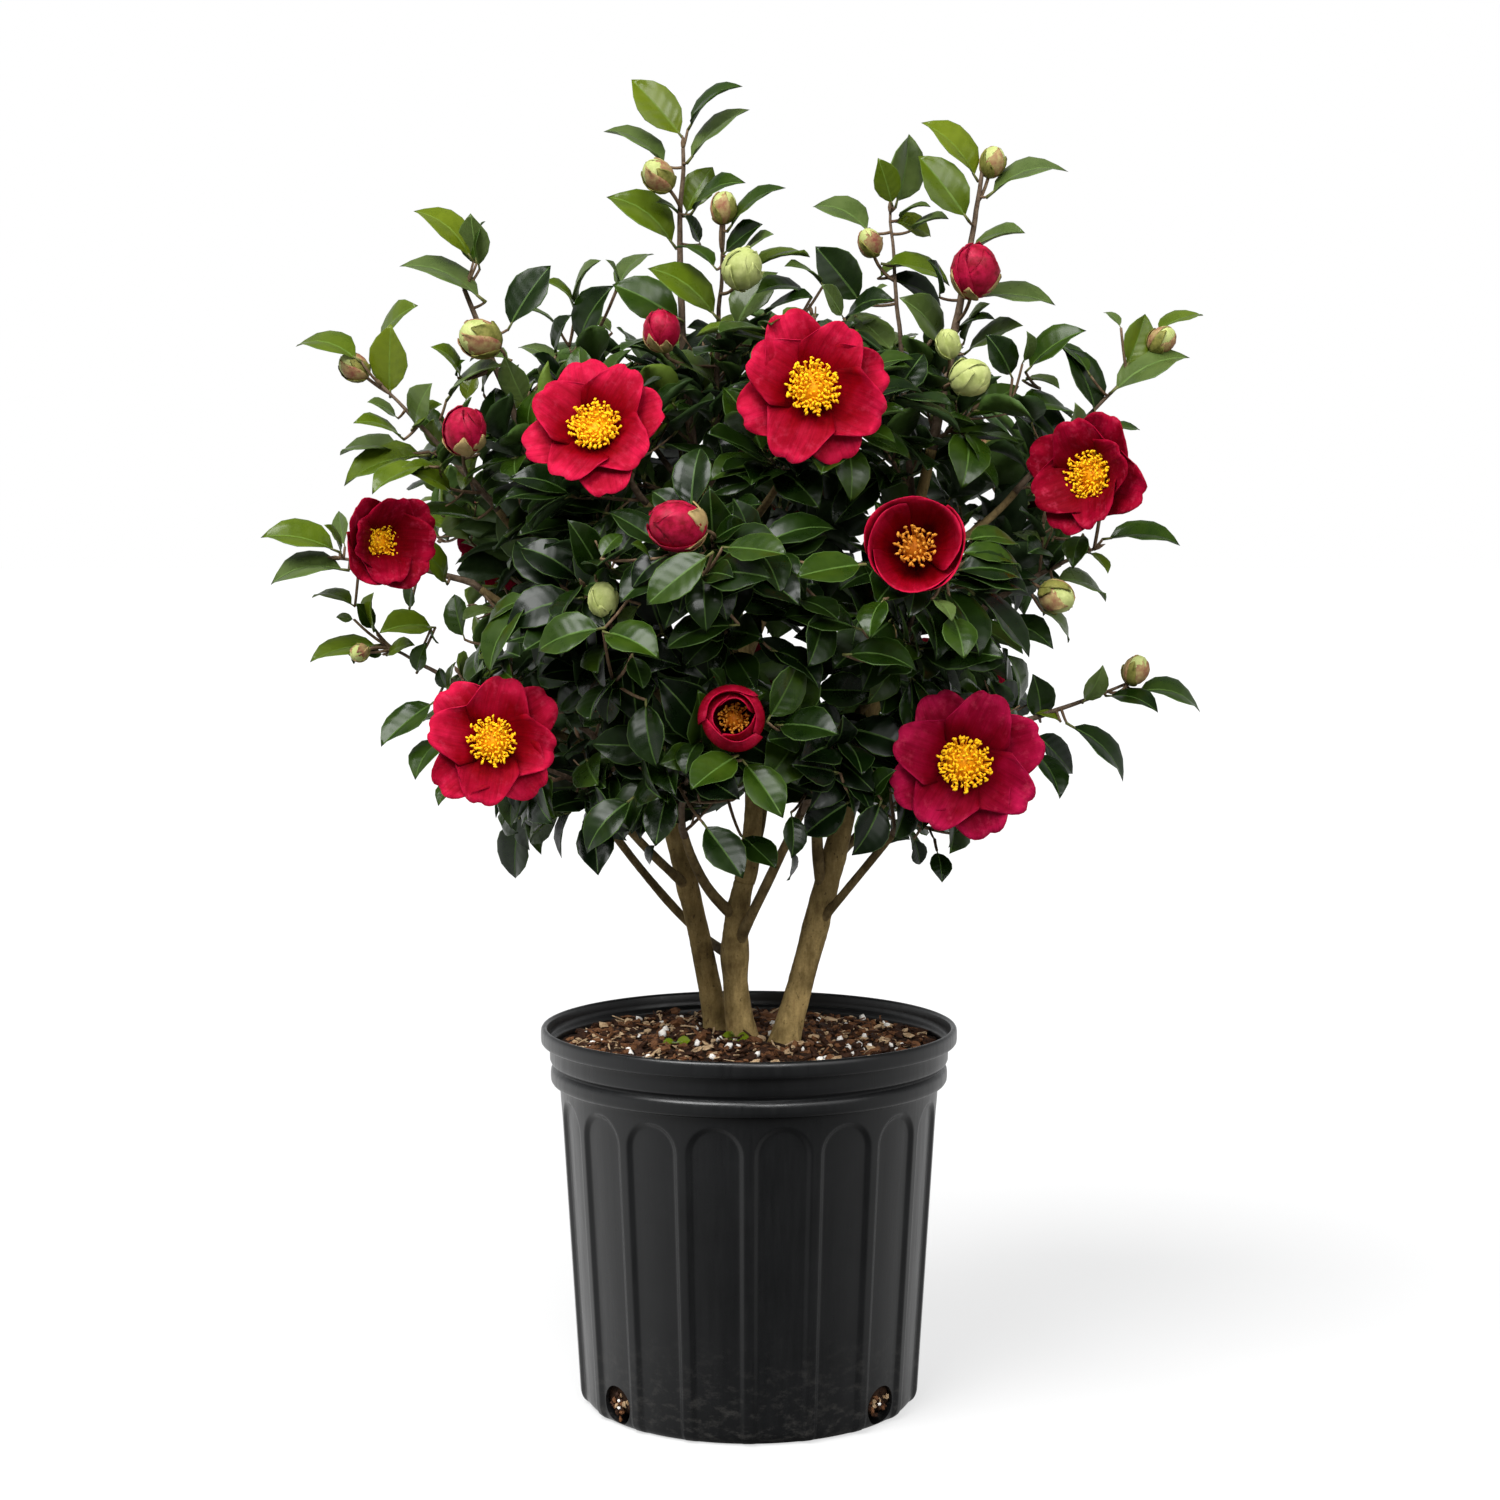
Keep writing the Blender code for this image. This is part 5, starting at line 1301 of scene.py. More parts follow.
# ---------------------------------------------------------------- leaves
# Leathery elliptic leaves with a pointed tip, folded along a pale midrib, glossy dark green above
# and matt grey green below, with a pale strip along each edge that is a painted highlight. New
# shoots at the top are yellower. Each tone is one piece. The tones are partly painted light: the
# darkest green is painted shade for leaves deep in the crown, dark is partly painted shade, the
# fresh tone is partly painted light on leaves where the light falls, and the grey sheen tone is a
# painted sheen.

LEAF_LENGTH = 0.061
# The darkest tone is painted shade, dark partly painted shade, the fresh tone partly painted light, young the own
# yellow of new shoots, and the grey sheen tone a painted sheen.
TONES = ("darkest", "dark", "green", "fresh", "young", "silver")


def leaf_template(curl, fold, twist, wave):
    """A leaf one unit long that lies along +X with its upper side to +Z: slot 0 is its blade, 1
    its pale midrib and the pale strips along its edge, which are a painted highlight on the rim, 2
    its underside and 3 its stalk."""
    columns = (-1.0, -0.945, -0.50, -0.06, 0.06, 0.50, 0.945, 1.0)
    rows = (
        (0.09, 0.06), (0.17, 0.42), (0.30, 0.80), (0.47, 1.0),
        (0.64, 0.94), (0.80, 0.64), (0.92, 0.27), (1.0, 0.0),
    )
    half_width = 0.252

    def bent(along, aside, sink):
        y = aside * half_width
        z = fold * abs(y) * (1.25 - 0.9 * abs(aside)) - sink
        z += 0.012 * wave * math.sin(9.0 * along + (2 if y > 0 else 0)) * abs(aside) ** 2
        turn = twist * (along - 0.3)
        y, z = y * math.cos(turn) - z * math.sin(turn), y * math.sin(turn) + z * math.cos(turn)
        angle = curl * (along - 0.25)
        drawn_in = curl * 0.16 * (along - 0.25) ** 2 * 2
        return Vector((along - drawn_in, y, z - math.sin(angle) * (along - 0.25) * 0.62))

    bm = bmesh.new()
    bm.loops.layers.uv.new("own")
    for vert, s, t in grid(bm, len(columns) - 1, len(rows) - 1):
        column, row = round(s * (len(columns) - 1)), round(t * (len(rows) - 1))
        along, wide = rows[row]
        aside = columns[column]
        if column in (3, 4):
            aside = math.copysign(0.060 - 0.035 * along, aside) / max(wide, 0.25)
        vert.co = bent(along, aside * wide, 0.0)
    own = bm.loops.layers.uv[0]
    for face in bm.faces:
        middle = sum(loop[own].uv.x for loop in face.loops) / len(face.loops) * (len(columns) - 1)
        # The strips in columns 0 and 6 run along the edge and 3 is the midrib: the edge strips take the pale rib
        # colour as a painted highlight on the rim.
        face.material_index = 1 if int(middle) in (0, 3, 6) else 0
    under = []
    for vert, s, t in grid(bm, 2, len(rows) - 1):
        along, wide = rows[round(t * (len(rows) - 1))]
        aside = 2 * s - 1
        under.append(vert)
        vert.co = bent(along, aside * wide, 0.0 if abs(aside) > 0.5 else 0.012 * min(1.0, wide * 3))
    below = {face for vert in under for face in vert.link_faces}
    for face in below:
        face.material_index = 2
    stalk = bmesh.new()
    stalk.loops.layers.uv.new("own")
    root = Matrix.Translation((0.05, 0, -0.004)) @ Matrix.Rotation(math.pi / 2, 4, "Y")
    bmesh.ops.create_cone(
        stalk, cap_ends=True, segments=4, radius1=0.020, radius2=0.015, depth=0.12, matrix=root
    )
    joined(bm, stalk, 3)
    bmesh.ops.remove_doubles(bm, verts=bm.verts, dist=0.0008)
    bmesh.ops.recalc_face_normals(bm, faces=bm.faces)
    return as_mesh("leaf", bm)


def leaf_pose(place, twig_direction, turn, rng):
    """(direction, upper side) of a leaf: it leaves its twig at a slant, hangs more the lower it
    is, and turns its upper side up and out to the light."""
    outward = (place - CROWN_MIDDLE).normalized()
    slant = math.radians(rng.uniform(38, 62))
    direction = twig_direction * math.cos(slant) + across(twig_direction, turn) * math.sin(slant)
    droop = max(-0.12, min(0.75, (0.64 - place.z) * 3.0))
    direction += outward * 0.30 - Vector((0, 0, droop))
    upper = Vector((0, 0, 0.55)) + outward * 0.75 + twig_direction * 0.2
    wobble = Vector((rng.uniform(-1, 1), rng.uniform(-1, 1), rng.uniform(-1, 1)))
    return direction.normalized(), upper + wobble * 0.28


def leaf_matrix(root, direction, upper, length, breadth):
    x = direction.normalized()
    z = (upper - x * upper.dot(x)).normalized()
    y = z.cross(x)
    turn = Matrix((x, y, z)).transposed().to_4x4()
    return Matrix.Translation(root) @ turn @ Matrix.Diagonal((length, length * breadth, length, 1))


OUTLINE = (
    (0.05, 0, 0), (0.3, 0.2, 0.02), (0.3, -0.2, 0.02),
    (0.62, 0.24, 0.0), (0.62, -0.24, 0.0), (1.0, 0, -0.06),
)
OUTLINE_FACES = ((0, 2, 1), (1, 2, 4), (1, 4, 3), (3, 4, 5))
cells = {}  # (middle, tree) of every leaf so far, by the cell of 60 mm it is in
CELL = 0.06
MEETING_RANGE = 0.058


def room_for(matrix):
    """Whether a leaf here meets no leaf so far. It is remembered if it meets none."""
    points = [matrix @ Vector(corner) for corner in OUTLINE]
    tree = BVHTree.FromPolygons(points, OUTLINE_FACES)
    middle = (points[0] + points[-1]) / 2
    cell = tuple(int(v // CELL) for v in middle)
    for x in (-1, 0, 1):
        for y in (-1, 0, 1):
            for z in (-1, 0, 1):
                for other, other_tree in cells.get((cell[0] + x, cell[1] + y, cell[2] + z), ()):
                    if (other - middle).length < MEETING_RANGE and tree.overlap(other_tree):
                        return False
    cells.setdefault(cell, []).append((middle, tree))
    return True


CLEAR_VIEW = {"open": (0.18, 0.53), "cup": (0.18, 0.53), "red bud": (0.14, 0.58), "bud": (0.10, 0.40)}


def hides_a_bloom(points):
    """Whether a leaf stands in the way of someone looking straight at a bloom or bud, or at one
    on the front from the front."""
    for bloom in BLOOMS:
        clear, share = CLEAR_VIEW[bloom.kind]
        lines = [Vector(bloom.facing).normalized()]
        if bloom.facing[1] < 0 and bloom.place[1] < 0:
            lines.append(Vector((0, -1, 0.08)))
            if bloom.kind == "cup" and lies_in(bloom, points, 0.47):
                return True
        for line in lines:
            for point in points:
                offset = point - Vector(bloom.place)
                ahead = offset.dot(line)
                aside = (offset - line * ahead).length
                if -0.006 < ahead < clear and aside < bloom.width * share:
                    return True
    return False


TEMPLATE_BENDS = (
    (0.55, 0.55, 0.15, 1.0), (0.85, 0.45, -0.25, 1.4), (0.30, 0.70, 0.30, 0.8), (1.05, 0.50, 0.10, 1.2),
    (0.65, 0.85, -0.10, 0.6), (0.45, 0.35, 0.40, 1.6), (0.95, 0.65, -0.40, 1.0), (0.20, 0.50, -0.15, 1.2),
)
templates = [leaf_template(*bends) for bends in TEMPLATE_BENDS]
tips = [max((vert.co for vert in mesh.vertices), key=lambda co: co.x).copy() for mesh in templates]
leaves = {tone: [] for tone in TONES}

# The leaves that stand clear of the rest are placed one by one: where the foot and then the tip
# are seen from the front, across and down, how much of the upper side faces the front, from 1
# for all of it to 0 for edge on, and the tone, which is partly painted light and shade. A last
# number is how far the foot is in front of the pot's axis in millimetres, where its shoot doesn't
# give that.
OUTER_LEAVES = {
    "top_leader": (
        (683, 142, 631, 83, 0.90, "young"), (687, 133, 742, 90, 0.45, "green"),
        (686, 166, 749, 113, 0.38, "silver"), (668, 170, 603, 135, 0.42, "silver"),
        (684, 219, 712, 170, 0.95, "fresh"), (690, 217, 745, 186, 0.50, "green"),
        (676, 251, 606, 200, 0.60, "fresh"), (678, 217, 655, 206, 0.40, "silver"),
        (700, 247, 683, 218, 0.80, "dark"), (683, 324, 612, 287, 0.92, "green"),
    ),
    "top_front": (
        (726, 234, 785, 191, 0.42, "green"), (722, 257, 762, 227, 0.75, "dark"),
        (738, 262, 773, 237, 0.50, "silver"), (752, 270, 809, 260, 0.32, "fresh"),
        (822, 288, 783, 269, 0.30, "silver"), (718, 322, 647, 271, 0.62, "fresh"),
        (716, 272, 674, 251, 0.40, "green"), (733, 332, 777, 275, 0.80, "silver"),
        (810, 300, 755, 296, 0.50, "green"), (760, 318, 812, 300, 0.40, "dark"),
        (842, 320, 820, 287, 0.80, "silver"), (718, 392, 664, 363, 0.60, "silver"),
        (718, 340, 686, 330, 0.60, "dark"), (728, 392, 742, 352, 0.80, "dark"),
    ),
    "top_back_left": (
        (616, 294, 654, 257, 0.42, "silver"), (615, 294, 605, 262, 0.40, "silver"),
        (577, 310, 601, 263, 0.50, "silver"), (578, 347, 614, 288, 0.80, "dark"),
        (575, 313, 543, 284, 0.50, "fresh"), (612, 335, 588, 322, 0.60, "silver"),
        (558, 329, 528, 312, 0.30, "silver"),
    ),
    "top_right": (
        (894, 210, 907, 137, 0.80, "silver"), (891, 209, 876, 161, 0.97, "fresh"),
        (870, 236, 811, 210, 0.60, "silver"), (896, 223, 929, 210, 0.35, "silver"),
        (908, 234, 947, 222, 0.42, "silver"), (890, 224, 929, 240, 0.80, "young"),
        (880, 266, 948, 289, 0.50, "fresh"), (884, 280, 939, 309, 0.62, "dark"),
        (860, 306, 814, 249, 0.95, "dark"), (876, 281, 919, 271, 0.30, "fresh"),
        (866, 304, 886, 288, 0.40, "silver"), (842, 324, 893, 303, 0.60, "dark"),
        (842, 340, 880, 320, 0.50, "silver"), (852, 316, 890, 353, 0.80, "silver"),
        (888, 366, 929, 392, 0.60, "green"),
    ),
    "right_leader": (
        (967, 224, 916, 159, 0.95, "fresh"), (976, 184, 919, 126, 0.62, "young"),
        (984, 200, 1066, 175, 0.38, "silver"), (966, 257, 1023, 236, 0.45, "silver"),
        (966, 300, 1053, 308, 0.42, "silver"), (940, 346, 897, 300, 0.80, "silver"),
        (961, 346, 988, 306, 0.35, "silver"), (953, 337, 993, 322, 0.40, "green"),
        (962, 356, 1021, 328, 0.50, "silver"), (1010, 380, 983, 336, 0.92, "dark"),
        (1023, 374, 1084, 333, 0.60, "green"), (1020, 366, 1024, 333, 0.70, "silver"),
        (938, 300, 925, 262, 0.50, "dark"),
    ),
    "right_upper": (
        (1123, 370, 1142, 316, 0.96, "fresh"), (1118, 330, 1100, 315, 0.60, "silver"),
        (1152, 335, 1200, 318, 0.35, "fresh"), (1107, 395, 1187, 360, 0.55, "silver"),
        (1094, 420, 1058, 349, 0.70, "dark"), (1088, 378, 1050, 346, 0.40, "green"),
        (1020, 382, 1057, 391, 0.40, "silver"), (1105, 432, 1137, 432, 0.40, "green"),
        (1060, 450, 1012, 402, 0.70, "dark"), (1066, 440, 1072, 404, 0.80, "silver"),
        (1072, 420, 1013, 412, 0.45, "green"),
    ),
    "right_middle": (
        (1100, 540, 1177, 547, 0.45, "green"), (1085, 553, 1105, 575, 0.40, "fresh"),
        (1050, 580, 1103, 603, 0.45, "silver"), (1040, 612, 1065, 644, 0.45, "silver"),
        (1080, 535, 1070, 570, 0.70, "green"), (1066, 540, 1045, 572, 0.60, "dark"),
        (990, 625, 1051, 650, 0.60, "dark"), (1004, 535, 1045, 556, 0.40, "silver"),
    ),
    "far_right_low": (
        (1080, 703, 1100, 665, 0.90, "silver"), (1103, 696, 1155, 713, 0.55, "dark"),
        (1130, 691, 1197, 713, 0.40, "green"), (1064, 723, 1120, 782, 0.50, "dark"),
        (1032, 733, 1070, 774, 0.75, "dark"), (1032, 752, 1057, 799, 0.50, "dark"),
        (1038, 722, 1030, 674, 0.92, "dark"), (1010, 712, 1004, 655, 0.50, "green"),
        (1058, 722, 1032, 714, 0.40, "young"),
    ),
    "left_leader": (
        (474, 264, 414, 214, 0.62, "young"), (480, 272, 471, 216, 0.97, "silver"),
        (477, 266, 486, 224, 0.45, "green"), (486, 304, 400, 269, 0.38, "silver"),
        (508, 332, 551, 268, 0.82, "dark"), (527, 408, 505, 358, 0.92, "silver"),
        (512, 362, 470, 364, 0.40, "silver"), (556, 358, 572, 317, 0.70, "dark"),
        (560, 372, 518, 350, 0.40, "silver"), (562, 386, 532, 356, 0.80, "darkest"),
    ),
    "left_upper": (
        (391, 399, 392, 326, 0.95, "young"), (378, 345, 419, 308, 0.62, "fresh", -22),
        (362, 363, 297, 349, 0.50, "fresh"), (399, 420, 368, 404, 0.60, "silver"),
        (405, 441, 354, 425, 0.42, "fresh"), (415, 430, 433, 385, 0.85, "silver"),
        (412, 432, 443, 406, 0.60, "fresh"), (438, 452, 434, 420, 0.85, "fresh"),
        (446, 446, 417, 408, 0.90, "green"), (480, 455, 462, 492, 0.80, "fresh"),
        (402, 453, 341, 457, 0.38, "silver"), (430, 456, 345, 488, 0.50, "fresh"),
        (462, 382, 431, 349, 0.60, "fresh"), (447, 402, 503, 369, 0.40, "silver"),
        (466, 404, 476, 374, 0.90, "young"), (455, 497, 398, 472, 0.60, "fresh"),
        (430, 468, 373, 496, 0.50, "fresh"), (484, 396, 497, 370, 0.60, "fresh"),
        (458, 380, 466, 362, 0.50, "green"),
    ),
    "far_left": (
        (341, 553, 262, 539, 0.52, "fresh"), (343, 556, 325, 526, 0.50, "fresh"),
        (346, 548, 340, 512, 0.85, "silver"), (350, 571, 272, 586, 0.42, "silver"),
        (410, 610, 413, 582, 0.80, "green"), (478, 520, 417, 518, 0.50, "green"),
        (448, 585, 408, 548, 0.70, "fresh"),
    ),
    "left_low": (
        (378, 635, 375, 593, 0.60, "fresh"), (376, 630, 357, 604, 0.85, "green"),
        (355, 620, 337, 618, 0.90, "silver"), (356, 607, 313, 599, 0.35, "fresh"),
        (382, 645, 311, 663, 0.52, "fresh"), (436, 628, 380, 634, 0.70, "fresh"),
        (384, 655, 362, 652, 0.80, "green"), (387, 656, 416, 646, 0.70, "fresh"),
        (417, 674, 428, 643, 0.90, "green"), (362, 652, 355, 665, 0.40, "green"),
        (465, 640, 455, 595, 0.85, "green"), (500, 612, 462, 622, 0.40, "silver"),
        (432, 628, 440, 644, 0.30, "green"),
    ),
    "low_left": (
        (436, 701, 382, 747, 0.75, "green"), (450, 712, 424, 722, 0.50, "silver"),
        (448, 738, 416, 780, 0.60, "green"), (462, 780, 439, 806, 0.60, "green"),
        (448, 690, 440, 668, 0.80, "dark"), (452, 694, 457, 662, 0.50, "silver"),
        (520, 815, 516, 878, 0.85, "dark"), (532, 795, 530, 850, 0.60, "dark"),
    ),
    "low_front_left": (
        (570, 812, 530, 840, 0.40, "silver"), (592, 817, 598, 875, 0.88, "darkest", 90),
        (590, 800, 545, 812, 0.75, "darkest", 80), (615, 765, 590, 786, 0.60, "dark", 80),
    ),
    "low_front": (
        (668, 785, 655, 846, 0.95, "dark", 150), (702, 822, 742, 878, 0.92, "dark", 160),
        (740, 835, 775, 868, 0.85, "dark", 140), (790, 812, 790, 858, 0.90, "dark", 130),
        (742, 760, 782, 818, 0.88, "green", 185), (737, 755, 690, 790, 0.85, "green", 190),
        (766, 722, 798, 660, 0.85, "green", 190), (775, 725, 838, 735, 0.75, "dark", 180),
        (700, 740, 685, 776, 0.60, "dark", 165), (720, 700, 708, 668, 0.60, "dark", 170),
        (645, 700, 657, 768, 0.92, "dark", 165), (668, 775, 612, 760, 0.80, "darkest", 140),
        (655, 843, 650, 865, 0.60, "darkest", 120), (790, 850, 785, 880, 0.40, "darkest", 120),
    ),
    "low_front_right": (
        (850, 800, 803, 835, 0.92, "darkest", 130), (880, 800, 850, 855, 0.92, "darkest", 130),
        (845, 790, 852, 816, 0.60, "dark", 135), (870, 795, 895, 770, 0.80, "dark", 130),
        (838, 775, 815, 745, 0.80, "darkest", 130),
    ),
    "low_right": (
        (912, 838, 918, 864, 0.85, "dark"), (935, 850, 940, 882, 0.40, "dark"),
    ),
    "front_left": (
        (605, 628, 538, 652, 0.75, "green", 205), (603, 632, 659, 660, 0.80, "green", 205),
        (632, 655, 643, 690, 0.80, "dark", 195), (600, 560, 622, 535, 0.70, "green", 190),
        (640, 605, 625, 640, 0.60, "silver", 180),
    ),
    "front_middle": (
        (712, 553, 646, 606, 0.80, "green", 225), (722, 548, 786, 556, 0.72, "green", 225),
        (738, 625, 665, 650, 0.62, "dark", 205), (702, 613, 700, 580, 0.70, "dark", 200),
        (650, 560, 630, 545, 0.50, "green", 205),
    ),
    "front_right": (
        (864, 565, 795, 578, 0.72, "green", 190), (962, 541, 1018, 550, 0.45, "green", 135),
        (882, 600, 868, 640, 0.50, "green", 185), (930, 600, 950, 623, 0.50, "silver", 180),
        (842, 655, 915, 672, 0.65, "dark", 180), (860, 630, 780, 618, 0.60, "dark", 175),
        (950, 615, 962, 660, 0.80, "green", 175), (824, 606, 806, 668, 0.75, "dark", 168),
        (770, 650, 818, 690, 0.62, "darkest", 160), (795, 600, 838, 622, 0.55, "dark", 170),
        (848, 655, 792, 638, 0.70, "darkest", 60), (800, 672, 756, 640, 0.75, "darkest", 20),
        (868, 662, 808, 668, 0.80, "darkest", 40), (874, 700, 816, 694, 0.70, "dark", 60),
    ),
}


def chord_matrix(foot, tip, upper, template, breadth):
    """The place of a leaf whose own tip falls on a given point."""
    own_tip = tips[template]
    length = (tip - foot).length / own_tip.length
    return (
        leaf_matrix(foot, tip - foot, upper, 1.0, 1.0)
        @ Matrix.Rotation(math.atan2(own_tip.z, own_tip.x), 4, "Y")
        @ Matrix.Diagonal((length, length * breadth, length, 1))
    )


def way_to(start, foot):
    """Points on the way from a twig to a leaf's foot."""
    return [start.lerp(foot, share) for share in (0, 0.25, 0.5, 0.75)]


rng = random.Random(31)
every_twig = [axis for mass, axis, bare in twigs if axis] + [shoots[mass.name] for mass in MASSES]
for mass_name, rows in OUTER_LEAVES.items():
    bearers = shoots[mass_name] + [point for mass, axis, bare in twigs if mass.name == mass_name for point in axis]
    for row in rows:
        foot_x, foot_y, tip_x, tip_y, faced, tone = row[:6]
        if len(row) > 6:
            depth = row[6] / 1000
        else:
            seen = [(math.dist(seen_from_front(point), (foot_x, foot_y)), -point.y) for point in bearers]
            depth = min(seen)[1] + rng.uniform(-0.006, 0.010)
        foot = seen_at(foot_x, foot_y, depth)
        seen_length = math.dist((foot_x, foot_y), (tip_x, tip_y)) * STEP
        true_length = max(seen_length, min(0.052, seen_length * (1.06 if faced > 0.88 else 1.3)))
        nearer = math.sqrt(true_length ** 2 - seen_length ** 2)
        tip = seen_at(tip_x, tip_y, depth + nearer * rng.choice((0.8, 0.8, -0.6)))
        along = (tip - foot).normalized()
        front = Vector((0, -1, 0))
        upward = Vector((0, 0, 1)) if abs(along.z) < 0.8 else Vector((math.copysign(1, foot.x), 0, 0.3))
        upward = (upward - along * upward.dot(along)).normalized()
        sideways = (upward - front * upward.dot(front)).normalized()
        upper = front * faced + sideways * math.sqrt(1 - faced ** 2)
        template = rng.choice((0, 2, 4, 7) if faced > 0.7 else (0, 1, 3, 4, 6))
        matrix = chord_matrix(foot, tip, upper, template, rng.uniform(1.06, 1.22))
        leaves[tone].append((template, matrix, 0))
        room_for(matrix)
        starts = sorted((nearest_on(axis, foot) for axis in every_twig), key=lambda point: (point - foot).length)
        start = next((point for point in starts[:40] if not hides_a_bloom(way_to(point, foot))), starts[0])
        if (start - foot).length > 0.002:
            radii = [0.0011 - 0.00004 * step for step in range(6)]
            joined(wood, skin_limb(bowed(start, foot, 0.12), radii, 6), 1)

for number, (mass, axis, bare) in enumerate(twigs):
    if not axis:
        continue
    rng = random.Random(5000 + number)
    length = sum((b - a).length for a, b in zip(axis, axis[1:]))
    turn = rng.uniform(0, 2 * math.pi)
    nodes = []
    distance = bare * length
    while distance < length - 0.003:
        share = distance / length * (len(axis) - 1)
        step = min(int(share), len(axis) - 2)
        here, there = axis[step], axis[step + 1]
        nodes.append((here.lerp(there, share - step), (there - here).normalized(), turn))
        turn += GOLDEN_ANGLE
        distance += rng.uniform(0.0080, 0.0108)
    heading = (axis[-1] - axis[-2]).normalized()
    for extra in range(2):
        nodes.append((axis[-1] - heading * 0.001 * extra, heading, turn + extra * GOLDEN_ANGLE))
    # The tone of a leaf that grows by rule is painted light and shade as well as age: it is lighter high up, far out
    # from the crown's middle and on the left, where the light falls, and darker inside the crown; the yellow of new
    # shoots at the top is the leaves' own colour.
    out = axis[-1] - CROWN_MIDDLE
    light_and_growth = max(axis[-1].z - 0.62, -0.04) * 4.2 + math.hypot(out.x, 0.5 * out.y, out.z) * 2.6
    light_and_growth += max(0.0, -0.12 - axis[-1].x) * 6.0 - 0.48 + rng.gauss(0, 0.40)
    tone = TONES[max(0, min(4, int(1.9 + light_and_growth * 1.5)))]
    for place, along, leaf_turn in nodes:
        for attempt in range(5):
            direction, upper = leaf_pose(place, along, leaf_turn + attempt * 0.7, rng)
            size = LEAF_LENGTH * rng.uniform(0.82, 1.08) * (1 - 0.08 * attempt)
            matrix = leaf_matrix(place, direction, upper, size, rng.uniform(0.92, 1.10))
            points = [matrix @ Vector(corner) for corner in OUTLINE[1:]]
            if hides_a_bloom(points) or not keeps_to(mass, points[-1:], 0.024):
                continue
            if not all(in_close_part(point) for point in points):
                continue
            if room_for(matrix):
                leaves[tone].append((rng.randrange(len(templates)), matrix, 0))
                break

# Two seedlings have come up beside the stems: where each stands, and which way its leaves point.
SEEDLING_LEAF = 0.0115
SEEDLINGS = (
    ((-0.049, -0.031), ((-1.0, -0.3, 0.22), (1.0, -0.2, 0.30), (0.3, -1.0, 0.25))),
    ((-0.0090, -0.0135), ((-0.9, -0.5, 0.60), (0.9, -0.4, 0.45), (-0.2, -1.0, 0.8), (0.5, -0.9, 0.15))),
)
for number, ((x, y), headings) in enumerate(SEEDLINGS):
    rng = random.Random(700 + number)
    for heading in headings:
        root = Vector((x, y, soil_height(x, y) + 0.0020))
        upper = Vector((rng.uniform(-0.3, 0.3), -0.8, 1.0))
        matrix = leaf_matrix(root, Vector(heading), upper, SEEDLING_LEAF * rng.uniform(0.8, 1.1), 1.35)
        leaves["young"].append((rng.randrange(len(templates)), matrix, 0))


def leaf_finish(name, dark, light, roughness):
    """A waxy leaf: two near tones, side veins that dent it, and a broken sheen."""
    material, tree, shader = new_finish(name, roughness)
    own = add_node(tree, "UVMap", uv_map="own").outputs["UV"]
    parts = apart(tree, own)
    aside = maths(tree, "ABSOLUTE", maths(tree, "SUBTRACT", parts["X"], 0.5))
    rise = maths(tree, "MULTIPLY_ADD", aside, -0.42, parts["Y"])
    veins = maths(tree, "SINE", maths(tree, "MULTIPLY", rise, 52.0))
    clouds = noise_at(tree, object_place(tree), 46.0, 5.0, 0.6)
    pores = noise_at(tree, object_place(tree), 420.0, 4.0, 0.6)
    tree.links.new(ramp(tree, clouds, (0.33, dark), (0.68, light)), shader.inputs["Base Color"])
    tree.links.new(spread(tree, clouds, 0.3, 0.7, roughness - 0.07, roughness + 0.09), shader.inputs["Roughness"])
    shader.inputs["Specular IOR Level"].default_value = 0.27
    bump(tree, shader, (veins, 0.10, 0.0004), (pores, 0.03, 0.0003))
    return material


# Dark and light blade colour of each tone; the tones differ partly by painted light and shade, and the rib and
# underside colours follow them.
BLADE_TONES = {
    "darkest": ((0.0010, 0.0044, 0.0003), (0.0028, 0.0095, 0.0006)),
    "dark": ((0.0026, 0.0092, 0.0005), (0.0090, 0.0235, 0.0011)),
    "green": ((0.0110, 0.0290, 0.0013), (0.0280, 0.0570, 0.0024)),
    "fresh": ((0.0540, 0.0880, 0.0030), (0.0860, 0.1280, 0.0050)),
    "young": ((0.0900, 0.1280, 0.0040), (0.1300, 0.1720, 0.0070)),
    "silver": ((0.0540, 0.0860, 0.0180), (0.0880, 0.1280, 0.0310)),
}


def paler(colour, share, added):
    """A share of a colour with another added."""
    return tuple(share * v + w for v, w in zip(colour, added))


leaf_stalk = mottled_finish("leaf_stalk", (0.075, 0.085, 0.025), (0.160, 0.165, 0.050), 0.55, 200, 0.0003)
for tone in TONES:
    dark, light = BLADE_TONES[tone]
    blade = leaf_finish("leaf_" + tone, dark, light, 0.29)
    # The rib colours paint the pale midrib and also the pale edge strips, a painted highlight on the rim.
    rib_and_rim_highlight_dark = paler(light, 0.55, (0.030, 0.060, 0.014))
    rib_and_rim_highlight_light = paler(light, 0.8, (0.055, 0.095, 0.024))
    rib_and_rim_highlight = mottled_finish("leaf_rib_" + tone, rib_and_rim_highlight_dark, rib_and_rim_highlight_light, 0.42, 120, 0.0003)
    below_dark = paler(light, 0.9, (0.016, 0.030, 0.012))
    below_light = paler(light, 1.1, (0.032, 0.052, 0.022))
    underside = mottled_finish("leaf_underside_" + tone, below_dark, below_light, 0.55, 90, 0.0003)
    piece = stack_copies("leaves_" + tone, templates, leaves[tone], (blade, rib_and_rim_highlight, underside, leaf_stalk))
    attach(piece, "root")
    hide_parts(*["foliage_" + mass.name for mass in MASSES])

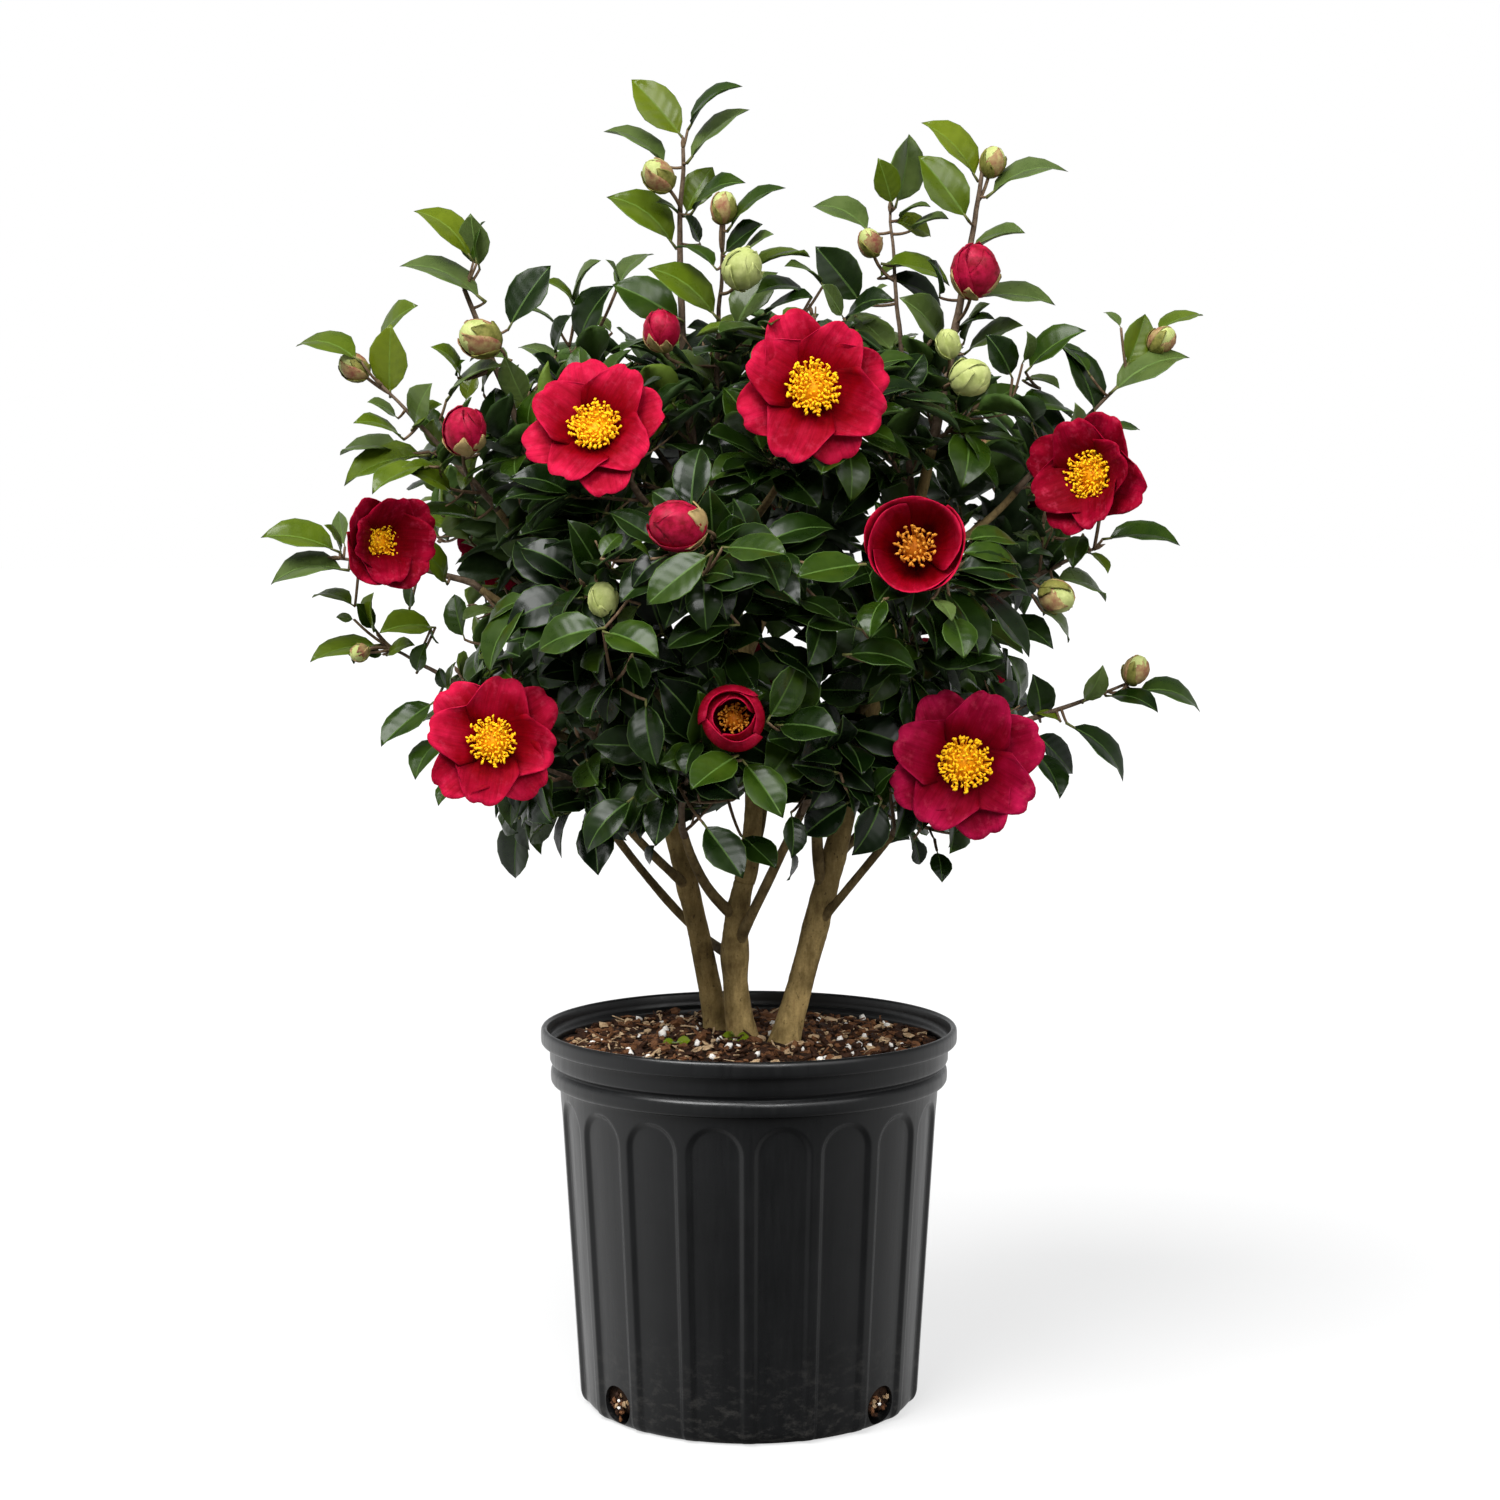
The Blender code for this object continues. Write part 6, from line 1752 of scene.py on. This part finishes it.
twig_brown = mottled_finish("shoot_wood", (0.075, 0.048, 0.030), (0.170, 0.120, 0.080), 0.75, 260, 0.0006)
twig_pink = mottled_finish("twig_wood", (0.095, 0.052, 0.030), (0.190, 0.130, 0.075), 0.65, 260, 0.0004)
twig_piece = finished("shoots_and_twigs", wood, twig_brown, twig_pink)
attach(twig_piece, "root")

# ---------------------------------------------------------------- stage, lights and camera
# The shrub stands on a pale floor with a pale ground all round. Broad soft light comes from high
# on the left, and weaker light from the right and the front. What glossy leaves and petals mirror
# is dark in front and bright behind, so that their sheen stays broken.

floor_mesh = bmesh.new()
bmesh.ops.create_circle(floor_mesh, cap_ends=True, segments=128, radius=40)
pale_floor, tree, shader = new_finish("pale_floor", 0.9)
shader.inputs["Specular IOR Level"].default_value = 0.0
shader.inputs["Emission Color"].default_value = (1, 1, 1, 1)
sight = add_node(tree, "LightPath")
grey = spread(tree, sight.outputs["Is Glossy Ray"], 0.0, 1.0, 0.26, 0.03)
tree.links.new(grey, shader.inputs["Base Color"])


def mirrored_light(tree, heading):
    """What a glossy surface mirrors from a heading: dark in front, bright behind and at the
    sides, and brightest on the left."""
    parts = apart(tree, heading)
    found = maths(tree, "MULTIPLY_ADD", maths(tree, "MULTIPLY", parts["X"], parts["X"]), 0.30, 0.45)
    for axis, share in (("Y", 0.40), ("X", -0.19)):
        found = maths(tree, "MULTIPLY_ADD", parts[axis], share, found)
    return found


away = add_node(tree, "VectorMath", {0: add_node(tree, "TexCoord").outputs["Object"]}, operation="NORMALIZE")
mirrored = maths(tree, "MULTIPLY", mirrored_light(tree, away.outputs["Vector"]), sight.outputs["Is Glossy Ray"])
glow = maths(tree, "MULTIPLY_ADD", sight.outputs["Is Camera Ray"], 0.62, mirrored)
tree.links.new(glow, shader.inputs["Emission Strength"])
floor = finished("floor", floor_mesh, pale_floor, smooth=False)

scene = bpy.context.scene
world = bpy.data.worlds.new("studio")
scene.world = world
world.use_nodes = True
tree = world.node_tree
backdrop = tree.nodes["Background"]
backdrop.inputs["Color"].default_value = (1, 1, 1, 1)
backdrop.inputs["Strength"].default_value = 1.0
sight = add_node(tree, "LightPath")
heading = add_node(tree, "TexCoord").outputs["Generated"]
parts = apart(tree, heading)
soft = spread(tree, parts["Y"], -0.7, 0.7, 0.07, 0.80)
overhead = spread(tree, parts["Z"], 0.05, 0.50, 1.0, 0.35)
mirrored = maths(tree, "MULTIPLY", mirrored_light(tree, heading), overhead)
glow = add_node(tree, "Mix", {0: sight.outputs["Is Glossy Ray"], 2: soft, 3: mirrored}, data_type="FLOAT")
dome = add_node(tree, "Background", {"Color": (0.98, 0.99, 1.0, 1), "Strength": glow.outputs[0]})
shaders = {0: sight.outputs["Is Camera Ray"], 1: dome.outputs[0], 2: backdrop.outputs[0]}
blend = add_node(tree, "MixShader", shaders)
tree.links.new(blend.outputs[0], tree.nodes["World Output"].inputs["Surface"])
scene.view_settings.view_transform = "Standard"

for name, strength, spread_angle, tilt, turn in (
    ("key", 4.3, 38, 38, -38),
    ("fill", 0.7, 40, 62, 48),
    ("front", 1.5, 22, 60, 14),
):
    lamp = bpy.data.lights.new(name, "SUN")
    lamp.energy = strength
    lamp.angle = math.radians(spread_angle)
    holder = bpy.data.objects.new(name, lamp)
    holder.rotation_euler = (math.radians(tilt), 0, math.radians(turn))
    scene.collection.objects.link(holder)

camera = bpy.data.objects.new("camera", bpy.data.cameras.new("camera"))
camera.data.sensor_width = 36
camera.data.lens = 67.92
camera.location = EYE
camera.rotation_euler = (math.pi / 2 - EYE_TILT, 0, 0)
scene.collection.objects.link(camera)
scene.camera = camera
